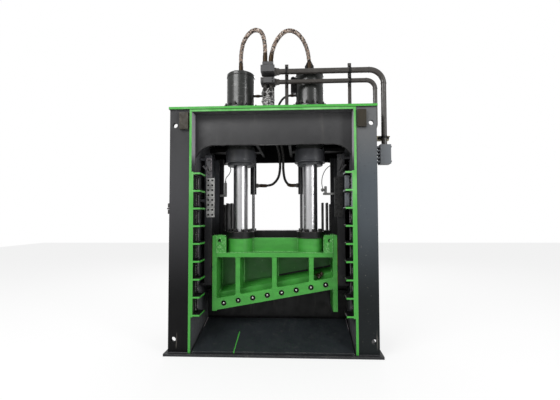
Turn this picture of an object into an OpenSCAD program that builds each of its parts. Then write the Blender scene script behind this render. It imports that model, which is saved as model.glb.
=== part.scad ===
// Gantry shear: two plate columns under a header, with a guillotine carriage and a hold-down between them.
// X runs to the right seen from the discharge side, Y runs back to the feed side and Z runs up.
// The origin lies on the floor under the middle of the frame.

/* [Frame] */
// Width across the outer edges of the two columns
frame_w = 2130; // [2110:1:2170]
// Depth of the columns from the discharge side to the feed side
frame_d = 1050; // [1040:1:1080]
// Height of the frame's top face above the floor
frame_h = 2540; // [2530:1:2560]
// Clear width between the two web plates
throat_w = 1664; // [1660:1:1668]
// Thickness of the web, top and base plates
plate_t = 25; // [22:1:28]
// Thickness of the column flanges
flange_t = 35; // [28:1:38]
// Set-back of the column flanges behind the web plate edges
flange_set = 10; // [6:1:14]
// Width of the base plate
base_w = 2200; // [2190:1:2240]
// Length that the base plate stands out in front of and behind the columns
base_lip = 30; // [20:1:40]
// Length that the top plate stands out past the columns
top_lip = 8; // [4:1:8]
// Diameter of the transport holes in the front flanges
transport_d = 50; // [40:1:56]
// Distance of the transport holes from the middle of the frame
transport_x = 1010; // [1000:1:1015]
// Drop of the upper transport holes below the top plate
transport_drop = 190; // [140:1:240]
// Height of the lower transport holes
transport_low = 155; // [140:1:180]
// Diameter of the anchor holes in the base plate
anchor_d = 42; // [36:1:48]
// Distance of the anchor holes from the column ends
anchor_inset = 170; // [150:1:200]
// Diameter of the feed table bolt holes in the rear flanges
feed_bolt_d = 33; // [30:1:36]
// Spacing of the feed table bolt holes
feed_pitch = 300; // [280:1:320]
// Height of the lowest feed table bolt hole
feed_low = 700; // [650:1:750]
// Number of feed table bolt holes in each rear flange
feed_count = 5; // [3:1:5]
// Thickness of the stiffeners inside the column channels
stiffener_t = 20; // [16:1:24]
// Distance of the stiffeners' edges from the column's outer face
stiffener_set = 25; // [15:1:40]
// Height of the pad plate near each column's top
pad_h = 175; // [150:1:190]
// Width of the pad plate near each column's top
pad_w = 90; // [80:1:100]
// Thickness of the pad plate
pad_t = 30; // [20:1:36]
// Radius of the drain cut-outs at the stiffeners' inner corners
drain_r = 28; // [20:1:34]

/* [Header] */
// Distance of the front header plate behind the web plate edges
header_set = 120; // [100:1:130]
// Thickness of the header plates
header_t = 40; // [32:1:45]
// Drop of the front header's lower edge below the top
header_drop = 377; // [370:1:385]
// Drop of the rear header's lower edge below the top
rear_header_drop = 435; // [420:1:440]
// Distance of the rear header plate from the feed side
rear_header_set = 60; // [45:1:80]
// Radius of the arch at the header's two lower corners
arch_r = 215; // [210:1:220]
// Run of each arch from the web plate
arch_run = 200; // [195:1:205]
// Distance of the lengthwise header ribs from the middle
header_rib_x = 175; // [165:1:180]
// Thickness of the lengthwise header ribs
header_rib_t = 30; // [24:1:32]

/* [Side ribs] */
// Number of ribs on the inside of each column
rib_count = 9; // [7:1:9]
// Height of the lowest rib's middle
rib_low = 398; // [390:1:405]
// Drop of the highest rib below the top
rib_drop = 694; // [685:1:705]
// Thickness of the ribs
rib_t = 18; // [15:1:20]
// Depth of the ribs
rib_d = 187; // [180:1:195]
// Distance of the ribs' inner edges from the middle of the frame
rib_in = 742; // [738:1:750]
// Thickness of the strip that carries the ribs
comb_t = 20; // [16:1:24]
// Diameter of the plug holes between the ribs
comb_hole_d = 22; // [18:1:26]

/* [Guides] */
// Distance of the running face of each guide from the middle of the frame
guide_x = 745; // [745:1:748]
// Thickness of the guide plate
guide_t = 25; // [22:1:28]
// Height of the guides' lower ends
guide_low = 652; // [648:1:656]
// Drop of the guides' upper ends below the top
guide_drop = 460; // [445:1:470]
// Width of the gib bars that hold the shoes
gib_w = 54; // [50:1:54]
// Thickness of the gib bars
gib_t = 19; // [17:1:20]
// Drop of the lowest gib cover's underside below the guides' upper ends
cover_drop = 686; // [680:1:695]
// Height of each gib cover
cover_h = 108; // [104:1:109]
// Gap between two gib covers
cover_gap = 2; // [1:1:3]
// Width of the gib covers
cover_w = 88; // [84:1:90]
// Thickness of the gib covers
cover_t = 24; // [20:1:26]
// Number of gib covers on each side
cover_count = 4; // [3:1:4]
// Diameter of the gib cover screws' heads
cover_screw_d = 20; // [16:1:22]
// Places of a cover's screws across it and up it, as shares of its size
cover_screw_shares = [0.25, 0.75];
// Height of the eye plate above the gib covers
eye_h = 215; // [200:1:220]
// Width of the eye plate
eye_w = 50; // [46:1:56]
// Thickness of the eye plate
eye_t = 12; // [10:1:14]
// Diameter of the eye plate's hole
eye_hole_d = 24; // [20:1:26]
// Length of the eye plate's slot
eye_slot_l = 90; // [80:1:100]

/* [Main cylinders] */
// Distance of each main cylinder from the middle of the frame
cyl_x = 400; // [395:1:402]
// Depth of the main cylinders behind the web plate edges
cyl_depth = 446; // [444:1:450]
// Outer diameter of the barrels
barrel_d = 320; // [312:1:324]
// Wall of the main barrels
barrel_wall = 20; // [19:1:24]
// Room over the main pistons at their highest
barrel_spare = 121; // [110:1:130]
// Thickness of the end caps
cap_t = 40; // [35:1:45]
// Bevel of the end caps' rims
cap_bevel = 8; // [5:1:10]
// Drop of the gland collars' undersides below the top
collar_drop = 562; // [555:1:565]
// Width of the gland collars around the barrels
collar_rim = 12; // [10:1:15]
// Height of the gland collars
collar_h = 172; // [165:1:176]
// Height of the gland inside the collar
gland_h = 120; // [115:1:124]
// Depth of the groove around the collars and height of small steps
groove_t = 4; // [3:1:6]
// Height of the ring around the collars' lower end
groove_h = 12; // [10:1:14]
// Diameter of the gland nuts under the collars
gland_nut_d = 292; // [284:1:300]
// Height of the gland nuts
gland_nut_h = 32; // [28:1:36]
// Diameter of the main rods
rod_d = 165; // [160:1:168]
// Height of the pistons
piston_h = 140; // [130:1:145]
// Depth of the piston ring grooves
ring_t = 5; // [4:1:7]
// Width of the seat flanges around the barrels
seat_rim = 42; // [40:1:45]
// Thickness of the seat flanges
seat_t = 18; // [15:1:22]
// Number of seat bolts around each barrel
seat_bolts = 16; // [12:1:18]
// Width across the corners of the seat bolts' heads
seat_bolt_d = 26; // [22:1:28]
// Diameter of the rod flanges on the carriage
rod_flange_d = 310; // [304:1:316]
// Height of the rod flanges
rod_flange_h = 72; // [66:1:76]
// Number of bolts in each rod flange
rod_bolts = 8; // [6:1:10]
// Width across the corners of the rod flange bolts' heads
rod_bolt_d = 42; // [36:1:44]
// Stroke of the carriage
knife_stroke = 650; // [640:1:660]

/* [Carriage] */
// Width of the knife carriage
car_w = 1370; // [1364:1:1372]
// Depth of the carriage's front face behind the web plate edges
car_depth = 283; // [283:1:286]
// Thickness of the whole carriage from front to back
car_t = 330; // [328:1:330]
// Thickness of the windowed front plate
front_t = 45; // [40:1:50]
// Thickness of the back plate
back_t = 50; // [45:1:55]
// Height of the carriage's slanted lower edge at the middle
edge_mid = 495; // [492:1:498]
// Rise of the lower edge over its length, as a share
rake_share = 0.182; // [0.178:0.001:0.184]
// Height of the blade bar along the lower edge
bar_h = 124; // [120:1:128]
// Height of the carriage deck's top face
deck_top = 999; // [996:1:1002]
// Thickness of the carriage deck
deck_t = 44; // [40:1:46]
// Length that the deck's front lip stands out
lip_t = 8; // [5:1:10]
// Width of the carriage's side plates
side_t = 48; // [45:1:50]
// Height of the side plates' lower ends
side_low = 369; // [366:1:371]
// Depth at which the ledge inside the carriage starts
ledge_depth = 400; // [395:1:410]
// Height of the ledge's front edge above the slanted lower edge
ledge_front_h = 165; // [160:1:170]
// Height of the ledge's back above the slanted lower edge
ledge_back_h = 200; // [196:1:206]
// Height of the slot between the ledge and the back plate
ledge_slot_h = 22; // [18:1:26]
// Depth of the sill behind the front plate
sill_step = 24; // [20:1:28]
// Width of the uprights between the windows
upright_w = 49; // [45:1:52]
// Distance of the outer uprights from the middle
upright_x = 403; // [400:1:406]
// Corner radius of the windows
window_r = 20; // [15:1:25]
// Height of the corner blocks
block_h = 192; // [185:1:196]
// Width of the corner blocks
block_w = 143; // [138:1:145]
// Thickness of the corner blocks
block_t = 84; // [78:1:86]
// Bevel of the corner blocks
block_bevel = 14; // [8:1:16]
// Diameter of the lifting holes in the corner blocks
lift_d = 40; // [36:1:44]
// Distance of the lifting holes from the middle
lift_x = 605; // [602:1:610]
// Height of the lifting holes above the deck
lift_z = 136; // [130:1:140]
// Diameter of the rod bosses
boss_d = 290; // [286:1:292]
// Height of the rod bosses
boss_h = 158; // [154:1:162]
// Depth that the rods reach into the bosses
rod_seat = 98; // [90:1:104]
// Thickness of the tie plate between the bosses
tie_t = 32; // [28:1:34]
// Height of the upper guide shoes
shoe_high_h = 300; // [280:1:310]
// Height of the lower guide shoes
shoe_low_h = 140; // [130:1:150]

/* [Blades] */
// Height of each blade
blade_h = 110; // [105:1:112]
// Thickness of each blade
blade_t = 35; // [32:1:38]
// Length that the upper blades stand out below the blade bar
blade_out = 8; // [5:1:10]
// Spacing of the blade bolts
bolt_pitch = 160; // [156:1:160]
// Diameter of the blade bolts
blade_bolt_d = 26; // [24:1:28]
// Height of the blade bolts above the lower edge
bolt_rise = 60; // [56:1:64]
// Diameter of the counterbores around the blade nuts
counter_d = 60; // [56:1:62]
// Width across the corners of the blade nuts
blade_nut_d = 44; // [40:1:48]
// Gap between the upper and lower blades
blade_gap = 1.5; // [1:0.1:2]

/* [Bed and chute] */
// Height of the lower blades' cutting edge
bed_top = 640; // [636:1:643]
// Thickness of the bed's plates
bed_t = 30; // [26:1:34]
// Number of ribs under the bed
bed_ribs = 4; // [3:1:5]
// Height of the chute at its front edge
chute_front = 45; // [40:1:50]
// Height of the chute at its back edge
chute_back = 205; // [200:1:220]
// Thickness of the chute plate
chute_t = 16; // [12:1:18]
// Width of the chute
chute_w = 1630; // [1600:1:1640]
// Number of bearers under the chute
bearer_count = 4; // [3:1:5]

/* [Hold-down] */
// Distance of each hold-down cylinder from the middle
hold_x = 300; // [295:1:305]
// Space between the carriage's back and the hold-down beam
hold_gap = 52; // [48:1:56]
// Outer diameter of the hold-down cylinders
hold_barrel_d = 76; // [74:1:80]
// Wall of the hold-down cylinders
hold_wall = 8; // [7:1:9]
// Diameter of the hold-down rods
hold_rod_d = 35; // [32:1:38]
// Drop of the hold-down cylinders' undersides below the top
hold_drop = 863; // [856:1:870]
// Room over the hold-down pistons at their highest
hold_spare = 35; // [30:1:40]
// Height of the side ports over the hold-down cylinders' lower ends
side_port_rise = 111; // [109:1:113]
// Thickness of the end walls of the hold-down cylinders
hold_end_t = 20; // [18:1:22]
// Height of the hold-down beam's top face
beam_top = 1228; // [1222:1:1234]
// Height of the hold-down beam
beam_h = 288; // [280:1:290]
// Depth of the hold-down beam
beam_d = 230; // [220:1:236]
// Space between the hold-down beam and the web plates, for a leg and its rail
beam_inset = 184; // [181:1:187]
// Thickness of the hold-down foot above its teeth
foot_t = 30; // [26:1:32]
// Depth of the teeth under the hold-down foot
tooth_h = 9; // [7:1:10]
// Number of teeth under the hold-down foot
tooth_count = 13; // [11:1:14]
// Height of the ears on the hold-down beam
ear_h = 338; // [320:1:350]
// Depth of the ears on the hold-down beam
ear_d = 180; // [170:1:190]
// Thickness of the ears on the hold-down beam
ear_t = 20; // [16:1:24]
// Inset of the inner ears' middles from the beam's ends
ear_inset = 86; // [80:1:92]
// Spacing of the two ears of a pair
ear_gap = 54; // [50:1:58]
// Thickness of the gib post in front of each leg
gib_post_t = 30; // [26:1:31]
// Width of the gib post in front of each leg
gib_post_w = 102; // [98:1:102]
// Width of each hold-down leg
leg_w = 105; // [100:1:106]
// Depth of each hold-down leg
leg_d = 160; // [150:1:166]
// Height of the hold-down legs
leg_h = 640; // [620:1:650]
// Travel of the hold-down below its shown height
hold_down = 260; // [250:1:262]
// Travel of the hold-down above its shown height
hold_up = 420; // [410:1:425]
// Rise of the crossbar's underside above the rear header's lower edge
crossbar_rise = 95; // [85:1:105]
// Thickness of the crossbar
crossbar_t = 40; // [35:1:44]

/* [Hydraulics] */
// Diameter of the pressure pipe
pressure_d = 60; // [56:1:62]
// Rise of the pressure pipe's middle above the top
pressure_rise = 458; // [454:1:462]
// Distance of the pressure pipe's drop from the middle
pressure_x = 1197; // [1192:1:1200]
// Bend radius of the pressure pipe
pressure_r = 155; // [150:1:160]
// Diameter of the return pipe
return_d = 48; // [44:1:50]
// Rise of the return pipe's middle above the top
return_rise = 343; // [338:1:348]
// Distance of the return pipe's drop from the middle
return_x = 1106; // [1104:1:1108]
// Bend radius of the return pipe
return_r = 95; // [92:1:100]
// Drop of the return pipe's lower end below the top
turn_drop = 234; // [230:1:238]
// Diameter of the boss where the return pipe enters the column
return_flange_d = 60; // [56:1:62]
// Depth of the pipes behind the web plate edges
pipe_depth = 245; // [242:1:248]
// Width of the valve blocks
valve_w = 152; // [146:1:156]
// Depth of the valve blocks
valve_d = 140; // [134:1:144]
// Distance of the valve blocks' middle to the left of the frame's middle
valve_x = 62; // [58:1:66]
// Height of the upper valve block
valve_h = 72; // [68:1:76]
// Rise of the upper valve block's middle above the pressure pipe
valve_rise = 16; // [12:1:18]
// Height of the lower valve block
low_valve_h = 58; // [54:1:60]
// Spacing of the hose ports on the valve blocks
port_pitch = 66; // [64:1:68]
// Width of the pipe posts
post_w = 38; // [34:1:40]
// Thickness of the pipe posts
post_t = 12; // [10:1:14]
// Rise of the pipe posts' upper ends above the top
post_rise = 552; // [545:1:558]
// Distance of the outer pipe post from the middle
post_x = 837; // [830:1:842]
// Distance of the inner pipe post from the middle
inner_post_x = 143; // [138:1:148]
// Thickness of the pipe clamps' straps
clamp_t = 6; // [5:1:8]
// Width of the pipe clamps' straps
clamp_w = 26; // [22:1:28]
// Bolt diameter of the pipe clamps
clamp_d = 12; // [10:1:13]
// Length that the pipe clamps' bolts stand out in front
clamp_reach = 58; // [50:1:64]
// Width across the corners of the pipe clamps' nuts
clamp_nut_d = 24; // [20:1:26]
// Width of the port block
port_w = 113; // [108:1:118]
// Height of the port block
port_h = 206; // [200:1:212]
// Depth of the port block
port_d = 120; // [112:1:126]
// Drop of the port block's upper side below the top
port_drop = 376; // [370:1:382]
// Diameter of the pump port
pump_port_d = 50; // [46:1:52]
// Depth of the pump port
pump_port_l = 60; // [54:1:64]
// Diameter of the port block's bolts
port_bolt_d = 18; // [16:1:20]
// Length of the pipe bracket outside the column
bracket_reach = 192; // [188:1:196]
// Width of the pipe bracket's legs
bracket_w = 50; // [46:1:54]
// Thickness of the pipe bracket's legs
bracket_t = 8; // [6:1:10]
// Drop of the pipe bracket's middle below the top
bracket_drop = 290; // [285:1:295]
// Diameter of the hoses over their sleeves
hose_d = 38; // [36:1:40]
// Diameter of the hoses to the hold-down cylinders
drop_hose_d = 32; // [30:1:36]
// Diameter of the drain hoses
small_hose_d = 25; // [23:1:27]
// Rise of the drain ports above the top
drain_rise = 264; // [260:1:268]
// Depth at which the drain hoses end on the top plate
drain_foot_depth = 386; // [382:1:390]
// Width of the side valve on the right cylinder
side_valve_w = 56; // [50:1:60]
// Height of the side valve
side_valve_h = 170; // [160:1:176]
// Rise of the side valve's underside above the top
side_valve_rise = 293; // [290:1:296]
// Width across the corners of the hose fittings
fitting_d = 54; // [50:1:56]
// Length of the hose fittings
fitting_l = 46; // [42:1:50]

/* [Clearances] */
// Radial play of rods and pistons in their bores
run_gap = 0.06; // [0.03:0.01:0.09]
// Gap between the guide shoes and their guides
shoe_gap = 1; // [0.5:0.1:1.5]
// Gap around the barrels in the top plate
barrel_gap = 1; // [0.5:0.1:2]

/* [Hidden] */
$fn = 64;

machine_green = [0.26, 0.45, 0.27];
frame_grey = [0.20, 0.22, 0.24];
dark_green = [0.14, 0.26, 0.16];
iron_black = [0.09, 0.09, 0.10];
bright_steel = [0.78, 0.79, 0.80];
worn_steel = [0.50, 0.50, 0.50];
hose_grey = [0.33, 0.31, 0.28];
olive_paint = [0.45, 0.42, 0.28];
guide_bronze = [0.60, 0.47, 0.24];

half_w = frame_w / 2;
web_in = throat_w / 2;
web_out = web_in + plate_t;
under_top = frame_h - plate_t;
header_top = under_top - plate_t;
rear_flange_y = frame_d - flange_set - flange_t;
rear_header_y = frame_d - rear_header_set - header_t;
// Heights and sizes that follow from the driving ones
transport_high = frame_h - transport_drop;
header_low = frame_h - header_drop;
rear_header_low = frame_h - rear_header_drop;
rib_high = frame_h - rib_drop;
guide_high = frame_h - guide_drop;
cover_low = guide_high - cover_drop;
bore_d = barrel_d - 2 * barrel_wall;
collar_low = frame_h - collar_drop;
seat_d = barrel_d + 2 * seat_rim;
collar_d = barrel_d + 2 * collar_rim;
beam_w = throat_w - 2 * beam_inset;
ear_x = beam_w / 2 - ear_inset;
crossbar_low = rear_header_low + crossbar_rise;
hold_depth = car_depth + car_t + hold_gap + beam_d / 2;
hold_bore_d = hold_barrel_d - 2 * hold_wall;
hold_low = frame_h - hold_drop;
pressure_z = frame_h + pressure_rise;
return_z = frame_h + return_rise;
return_turn = frame_h - turn_drop;
post_top = frame_h + post_rise;
port_top = frame_h - port_drop;
bracket_z = frame_h - bracket_drop;
drain_z = frame_h + drain_rise;
side_valve_z = frame_h + side_valve_rise;
rib_pitch = (rib_high - rib_low) / (rib_count - 1);
car_half = car_w / 2;
blade_l = car_half - side_t - blade_gap;
car_back = car_depth + car_t;
bar_front = car_depth + front_t;
bar_back = car_back - blade_t;
back_front = car_back - back_t;
deck_low = deck_top - deck_t;
lower_blade_y = car_back + blade_gap;
bed_front = lower_blade_y + blade_t;
boss_top = deck_top + boss_h;
piston_low = collar_low + gland_h + barrel_gap;
cap_low = piston_low + piston_h + knife_stroke + barrel_spare;
barrel_top = cap_low + cap_t;
shoe_front = car_depth + shoe_gap;
shoe_back = car_back - shoe_gap - gib_t;
foot_low = beam_top - beam_h - foot_t;
slant = atan(rake_share);
hold_piston_h = hold_end_t * 2;
hold_piston_low = hold_low + hold_end_t + hold_down + hold_end_t / 2;
hold_high = hold_piston_low + hold_piston_h + hold_up + hold_spare + hold_end_t;
valve_y = pipe_depth;
low_valve_z = return_z - low_valve_h / 2;
valve_z = pressure_z - valve_h / 2 + valve_rise;
valve_top = valve_z + valve_h;
pump_face_x = pressure_x + port_w / 2;
// Half the gap between the two blades of a pair
blade_split = blade_gap / 4;
// Places of one blade's bolts, in spacings from its middle
blade_bolt_places = [-1.5, -0.5, 0.5, 1.5];
// Share of a nut's or bolt head's width that is its height
nut_share = 0.7;
// Length by which a cutter runs past the faces it cuts
over = 1;
// Gap between two faces that are bolted or tacked together
seam = 0.2;
// Height of the side ports of the hold-down cylinders
side_port_z = hold_low + side_port_rise;

// Left cylinder hose: from the cylinder's cap up, over and down to the valve block
left_hose_route = [[-400, 446, 556], [-400, 446, 610], [-396, 438, 685], [-385, 425, 770],
    [-352, 400, 860], [-300, 370, 923], [-240, 335, 944], [-180, 300, 922], [-136, 272, 855],
    [-112, 255, 770], [-99, 247, 680], [-95, 245, 610], [-95, 245, 568]];
// Right cylinder hose: the same, over the other way and wider
right_hose_route = [[400, 446, 556], [400, 446, 610], [392, 436, 700], [370, 420, 790], [325, 392, 872],
    [265, 355, 925], [195, 320, 942], [125, 290, 922], [62, 266, 865], [10, 252, 780],
    [-18, 246, 690], [-29, 245, 610], [-29, 245, 568]];
// Left hold-down hose: from the lower valve block down through the header to the cylinder's side port
left_hold_route = [[-95, 245, 268], [-95, 245, 160], [-94, 250, 20], [-86, 285, -100], [-60, 380, -180],
    [-20, 490, -230], [15, 590, -310], [30, 660, -420], [30, 712, -540], [8, 752, -650],
    [-52, 774, -728], [-132, 780, -752], [-216, 780, -752]];
// Right hold-down hose: beside the left one and then to the other cylinder
right_hold_route = [[-29, 245, 268], [-29, 245, 160], [-28, 250, 20], [-16, 285, -100], [12, 380, -188],
    [52, 490, -244], [86, 590, -325], [98, 660, -440], [94, 712, -560], [104, 750, -670],
    [140, 774, -736], [178, 780, -752], [216, 780, -752]];

// Places across of the drain hoses' feet on the top plate
drain_foot_x = [-8, 27];
// Left drain hose: from the left cylinder's inner side in a bow down to the top plate
left_drain_route = [[-215, 446, 264], [-180, 446, 264], [-142, 445, 263], [-106, 438, 253],
    [-74, 427, 228], [-48, 414, 191], [-28, 402, 144], [-13, 390, 96], [-8, 386, 58],
    [-8, 386, 21]];
// Right drain hose: the same from the right cylinder
right_drain_route = [[215, 446, 264], [180, 446, 264], [145, 442, 257], [112, 432, 238], [82, 420, 206],
    [58, 408, 164], [40, 397, 115], [30, 389, 81], [27, 386, 52],
    [27, 386, 21]];

// Height of the carriage's slanted lower edge at a place across it
function edge(x) = edge_mid + rake_share * x;
// Place behind the web plate edges, in the model's own Y
function at(depth) = depth - frame_d / 2;
// Route with its depths turned into the model's own Y and its heights counted from the ground
function placed(route) = [for (p = route) [p[0], at(p[1]), frame_h + p[2]]];

// Box between two corners
module block(low, high) {
    translate(low) cube(high - low);
}

// The same shape on the right and, mirrored, on the left
module both_sides() {
    children();
    mirror([1, 0, 0]) children();
}

// Plate with an outline across the frame, from one depth to another
module cross_plate(depth, thick) {
    translate([0, at(depth) + thick, 0]) rotate([90, 0, 0]) linear_extrude(thick) children();
}

// Cylinder that runs from front to back
module depth_rod(x, depth, z, d, long) {
    translate([x, at(depth), z]) rotate([-90, 0, 0]) cylinder(d = d, h = long);
}

// Upright tube
module tube(outer, inner, low, high) {
    translate([0, 0, low]) difference() {
        cylinder(d = outer, h = high - low);
        translate([0, 0, -over]) cylinder(d = inner, h = high - low + 2 * over);
    }
}

// Six-sided head or nut standing on its place
module hex(d, h) {
    cylinder(d = d, h = h, $fn = 6);
}

// Band that follows the slanted lower edge, between two heights above it
module edge_band(left, right, low, high) {
    polygon([[left, edge(left) + low], [right, edge(right) + low],
        [right, edge(right) + high], [left, edge(left) + high]]);
}

// Two main cylinder places
module at_cylinders() {
    for (side = [-1, 1]) translate([side * cyl_x, at(cyl_depth), 0]) children();
}

// Two hold-down cylinder places
module at_hold_cylinders() {
    for (side = [-1, 1]) translate([side * hold_x, at(hold_depth), 0]) children();
}

// Eight blade bolt places across the frame
module at_blade_bolts() {
    for (side = [-1, 1]) for (place = blade_bolt_places) {
        x = side * blade_l / 2 + place * bolt_pitch;
        translate([x, 0, edge(x) + bolt_rise]) children();
    }
}

module base_plate() {
    color(frame_grey) difference() {
        block([-base_w / 2, at(-base_lip), 0], [base_w / 2, at(frame_d + base_lip), plate_t]);
        for (x = [-1, 1] * (web_out + half_w) / 2) for (depth = [anchor_inset, frame_d - anchor_inset])
            translate([x, at(depth), -over]) cylinder(d = anchor_d, h = plate_t + 2 * over);
    }
}

module web_plates() {
    color(machine_green) both_sides() block([web_in, at(0), plate_t], [web_out, at(frame_d), under_top]);
}

module front_flanges() {
    color(frame_grey) both_sides() difference() {
        block([web_out, at(flange_set), plate_t], [half_w, at(flange_set + flange_t), under_top]);
        for (z = [transport_low, transport_high])
            depth_rod(transport_x, flange_set - over, z, transport_d, flange_t + 2 * over);
    }
}

module rear_flanges() {
    color(frame_grey) both_sides() difference() {
        block([web_out, at(rear_flange_y), plate_t], [half_w, at(rear_flange_y + flange_t), under_top]);
        for (i = [0 : feed_count - 1])
            depth_rod((web_out + half_w) / 2, rear_flange_y - over, feed_low + i * feed_pitch, feed_bolt_d,
                flange_t + 2 * over);
    }
}

module column_stiffeners() {
    stiffener_shares = [0.2, 0.42, 0.64, 0.82];
    front = flange_set + flange_t;
    color(frame_grey) both_sides() for (share = stiffener_shares) translate([0, 0, under_top * share])
        difference() {
            block([web_out, at(front), 0], [half_w - stiffener_set, at(rear_flange_y), stiffener_t]);
            for (depth = [front, rear_flange_y])
                translate([web_out, at(depth), -over]) cylinder(r = drain_r, h = stiffener_t + 2 * over);
        }
}

module pad_plates() {
    pad_low = under_top - pad_h - flange_t;
    color(olive_paint) both_sides()
        block([web_out + flange_set, at(flange_set - pad_t), pad_low],
            [web_out + flange_set + pad_w, at(flange_set), pad_low + pad_h]);
}

module top_plate() {
    hose_hole_w = port_pitch * 3;
    color(machine_green) difference() {
        block([-half_w - top_lip, at(-top_lip), under_top],
            [half_w + top_lip, at(frame_d + top_lip), frame_h]);
        at_cylinders() translate([0, 0, under_top - over])
            cylinder(d = barrel_d + 2 * barrel_gap, h = plate_t + 2 * over);
        block([-valve_x - hose_hole_w / 2, at(valve_y - port_pitch), under_top - over],
            [-valve_x + hose_hole_w / 2, at(valve_y + port_pitch), frame_h + over]);
    }
}

// Outline of a header plate with arched lower corners
module header_outline(low) {
    flat_half = web_in - arch_run;
    difference() {
        translate([-web_in, low - arch_r]) square([throat_w, header_top - low + arch_r]);
        translate([-flat_half, low - 2 * arch_r]) square([2 * flat_half, 2 * arch_r]);
        for (side = [-1, 1]) translate([side * flat_half, low - arch_r]) circle(r = arch_r, $fn = 96);
    }
}

module front_header() {
    color(frame_grey) {
        cross_plate(header_set, header_t) header_outline(header_low);
        block([-web_in, at(0), header_top], [web_in, at(header_set + header_t), under_top]);
    }
}

module rear_header() {
    color(frame_grey) {
        cross_plate(rear_header_y, header_t) header_outline(rear_header_low);
        block([-web_in, at(rear_header_y), header_top], [web_in, at(frame_d), under_top]);
    }
}

module header_ribs() {
    color(machine_green) both_sides()
        block([header_rib_x - header_rib_t / 2, at(header_set + header_t), header_low],
            [header_rib_x + header_rib_t / 2, at(rear_header_y), under_top]);
}

module rib_combs() {
    comb_low = rib_low - rib_t;
    comb_high = rib_high + rib_t;
    color(machine_green) both_sides() {
        difference() {
            block([web_in - comb_t, at(0), comb_low], [web_in, at(rib_d), comb_high]);
            for (i = [0 : rib_count - 2])
                translate([web_in - comb_t - over, at(rib_d / 2), rib_low + (i + 1 / 2) * rib_pitch])
                    rotate([0, 90, 0]) cylinder(d = comb_hole_d, h = comb_t + 2 * over);
        }
        for (i = [0 : rib_count - 1])
            block([rib_in, at(0), rib_low + i * rib_pitch - rib_t / 2],
                [web_in - comb_t - seam, at(rib_d), rib_low + i * rib_pitch + rib_t / 2]);
    }
}

// Guide channels: side plates, front and rear gib bars and the spacers to the web plates, bolted together
module guides() {
    channel_front = car_depth - gib_t - shoe_gap;
    channel_back = shoe_back + shoe_gap;
    spacer_shares = [0, 0.32, 0.64, 0.96];
    color(frame_grey) both_sides() {
        block([guide_x, at(channel_front), guide_low],
            [guide_x + guide_t, at(channel_back + gib_t), guide_high]);
        for (front = [channel_front, channel_back])
            block([guide_x - gib_w, at(front), guide_low], [guide_x - seam, at(front + gib_t), guide_high]);
        for (share = spacer_shares)
            block([guide_x + guide_t + seam, at(channel_front), guide_low + (guide_high - guide_low) * share],
                [web_in, at(channel_back + gib_t), guide_low + (guide_high - guide_low) * share + guide_t]);
    }
}

// Places of the gib cover screws on the right side
module at_cover_screws() {
    for (i = [0 : cover_count - 1]) for (across = cover_screw_shares) for (up = cover_screw_shares)
        translate([guide_x - cover_w * across, 0, cover_low + (i + up) * cover_h]) children();
}

module gib_covers() {
    cover_front = car_depth - gib_t - shoe_gap - cover_t;
    color(worn_steel) both_sides() difference() {
        for (i = [0 : cover_count - 1])
            block([guide_x - cover_w, at(cover_front), cover_low + i * cover_h],
                [guide_x, at(cover_front + cover_t), cover_low + (i + 1) * cover_h - cover_gap]);
        at_cover_screws()
            depth_rod(0, cover_front - over, 0, cover_screw_d + 2 * cover_gap, cover_t / 2 + over);
    }
}

module gib_cover_screws() {
    cover_front = car_depth - gib_t - shoe_gap - cover_t;
    color(iron_black) both_sides() at_cover_screws()
        depth_rod(0, cover_front + cover_gap, 0, cover_screw_d, cover_t / 2 - cover_gap);
}

module eye_plates() {
    eye_front = car_depth - gib_t - shoe_gap - eye_t;
    eye_low = cover_low + cover_count * cover_h + cover_gap;
    middle = guide_x - eye_w / 2;
    round_z = eye_h - eye_w / 2;
    slot_z = round_z - eye_hole_d - eye_slot_l;
    color(frame_grey) both_sides() translate([middle, at(eye_front) + eye_t, eye_low]) rotate([90, 0, 0])
        linear_extrude(eye_t) difference() {
            union() {
                translate([-eye_w / 2, 0]) square([eye_w, round_z]);
                translate([0, round_z]) circle(d = eye_w);
            }
            translate([0, round_z]) circle(d = eye_hole_d);
            translate([-eye_hole_d / 2, slot_z]) square([eye_hole_d, eye_slot_l - eye_hole_d / 2]);
            for (z = [slot_z, slot_z + eye_slot_l - eye_hole_d / 2])
                translate([0, z]) circle(d = eye_hole_d);
        }
}

module bed_frame() {
    wall_top = bed_top - blade_h;
    rib_span = throat_w - bed_t;
    color(frame_grey) {
        block([-web_in, at(bed_front), plate_t], [web_in, at(bed_front + bed_t), bed_top - bed_t]);
        block([-web_in, at(frame_d - bed_t), plate_t], [web_in, at(frame_d), bed_top - bed_t]);
        for (i = [0 : bed_ribs - 1])
            block([-web_in + i * rib_span / (bed_ribs - 1), at(bed_front + bed_t), plate_t],
                [-web_in + bed_t + i * rib_span / (bed_ribs - 1), at(frame_d - bed_t), bed_top - bed_t]);
        block([-web_in, at(lower_blade_y), wall_top - bed_t], [web_in, at(bed_front), wall_top]);
    }
}

module bed_table() {
    color(worn_steel) block([-web_in, at(bed_front), bed_top - bed_t], [web_in, at(frame_d), bed_top]);
}

module lower_blades() {
    color(bright_steel) both_sides() difference() {
        block([blade_split, at(lower_blade_y), bed_top - blade_h], [blade_l, at(bed_front), bed_top]);
        for (place = blade_bolt_places)
            depth_rod(blade_l / 2 + place * bolt_pitch, lower_blade_y - over, bed_top - blade_h / 2,
                blade_bolt_d, blade_t + 2 * over);
    }
}

module lower_blade_bolts() {
    color(iron_black) both_sides() for (place = blade_bolt_places)
        depth_rod(blade_l / 2 + place * bolt_pitch, lower_blade_y + blade_gap, bed_top - blade_h / 2,
            blade_bolt_d, blade_t - blade_gap);
}

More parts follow.
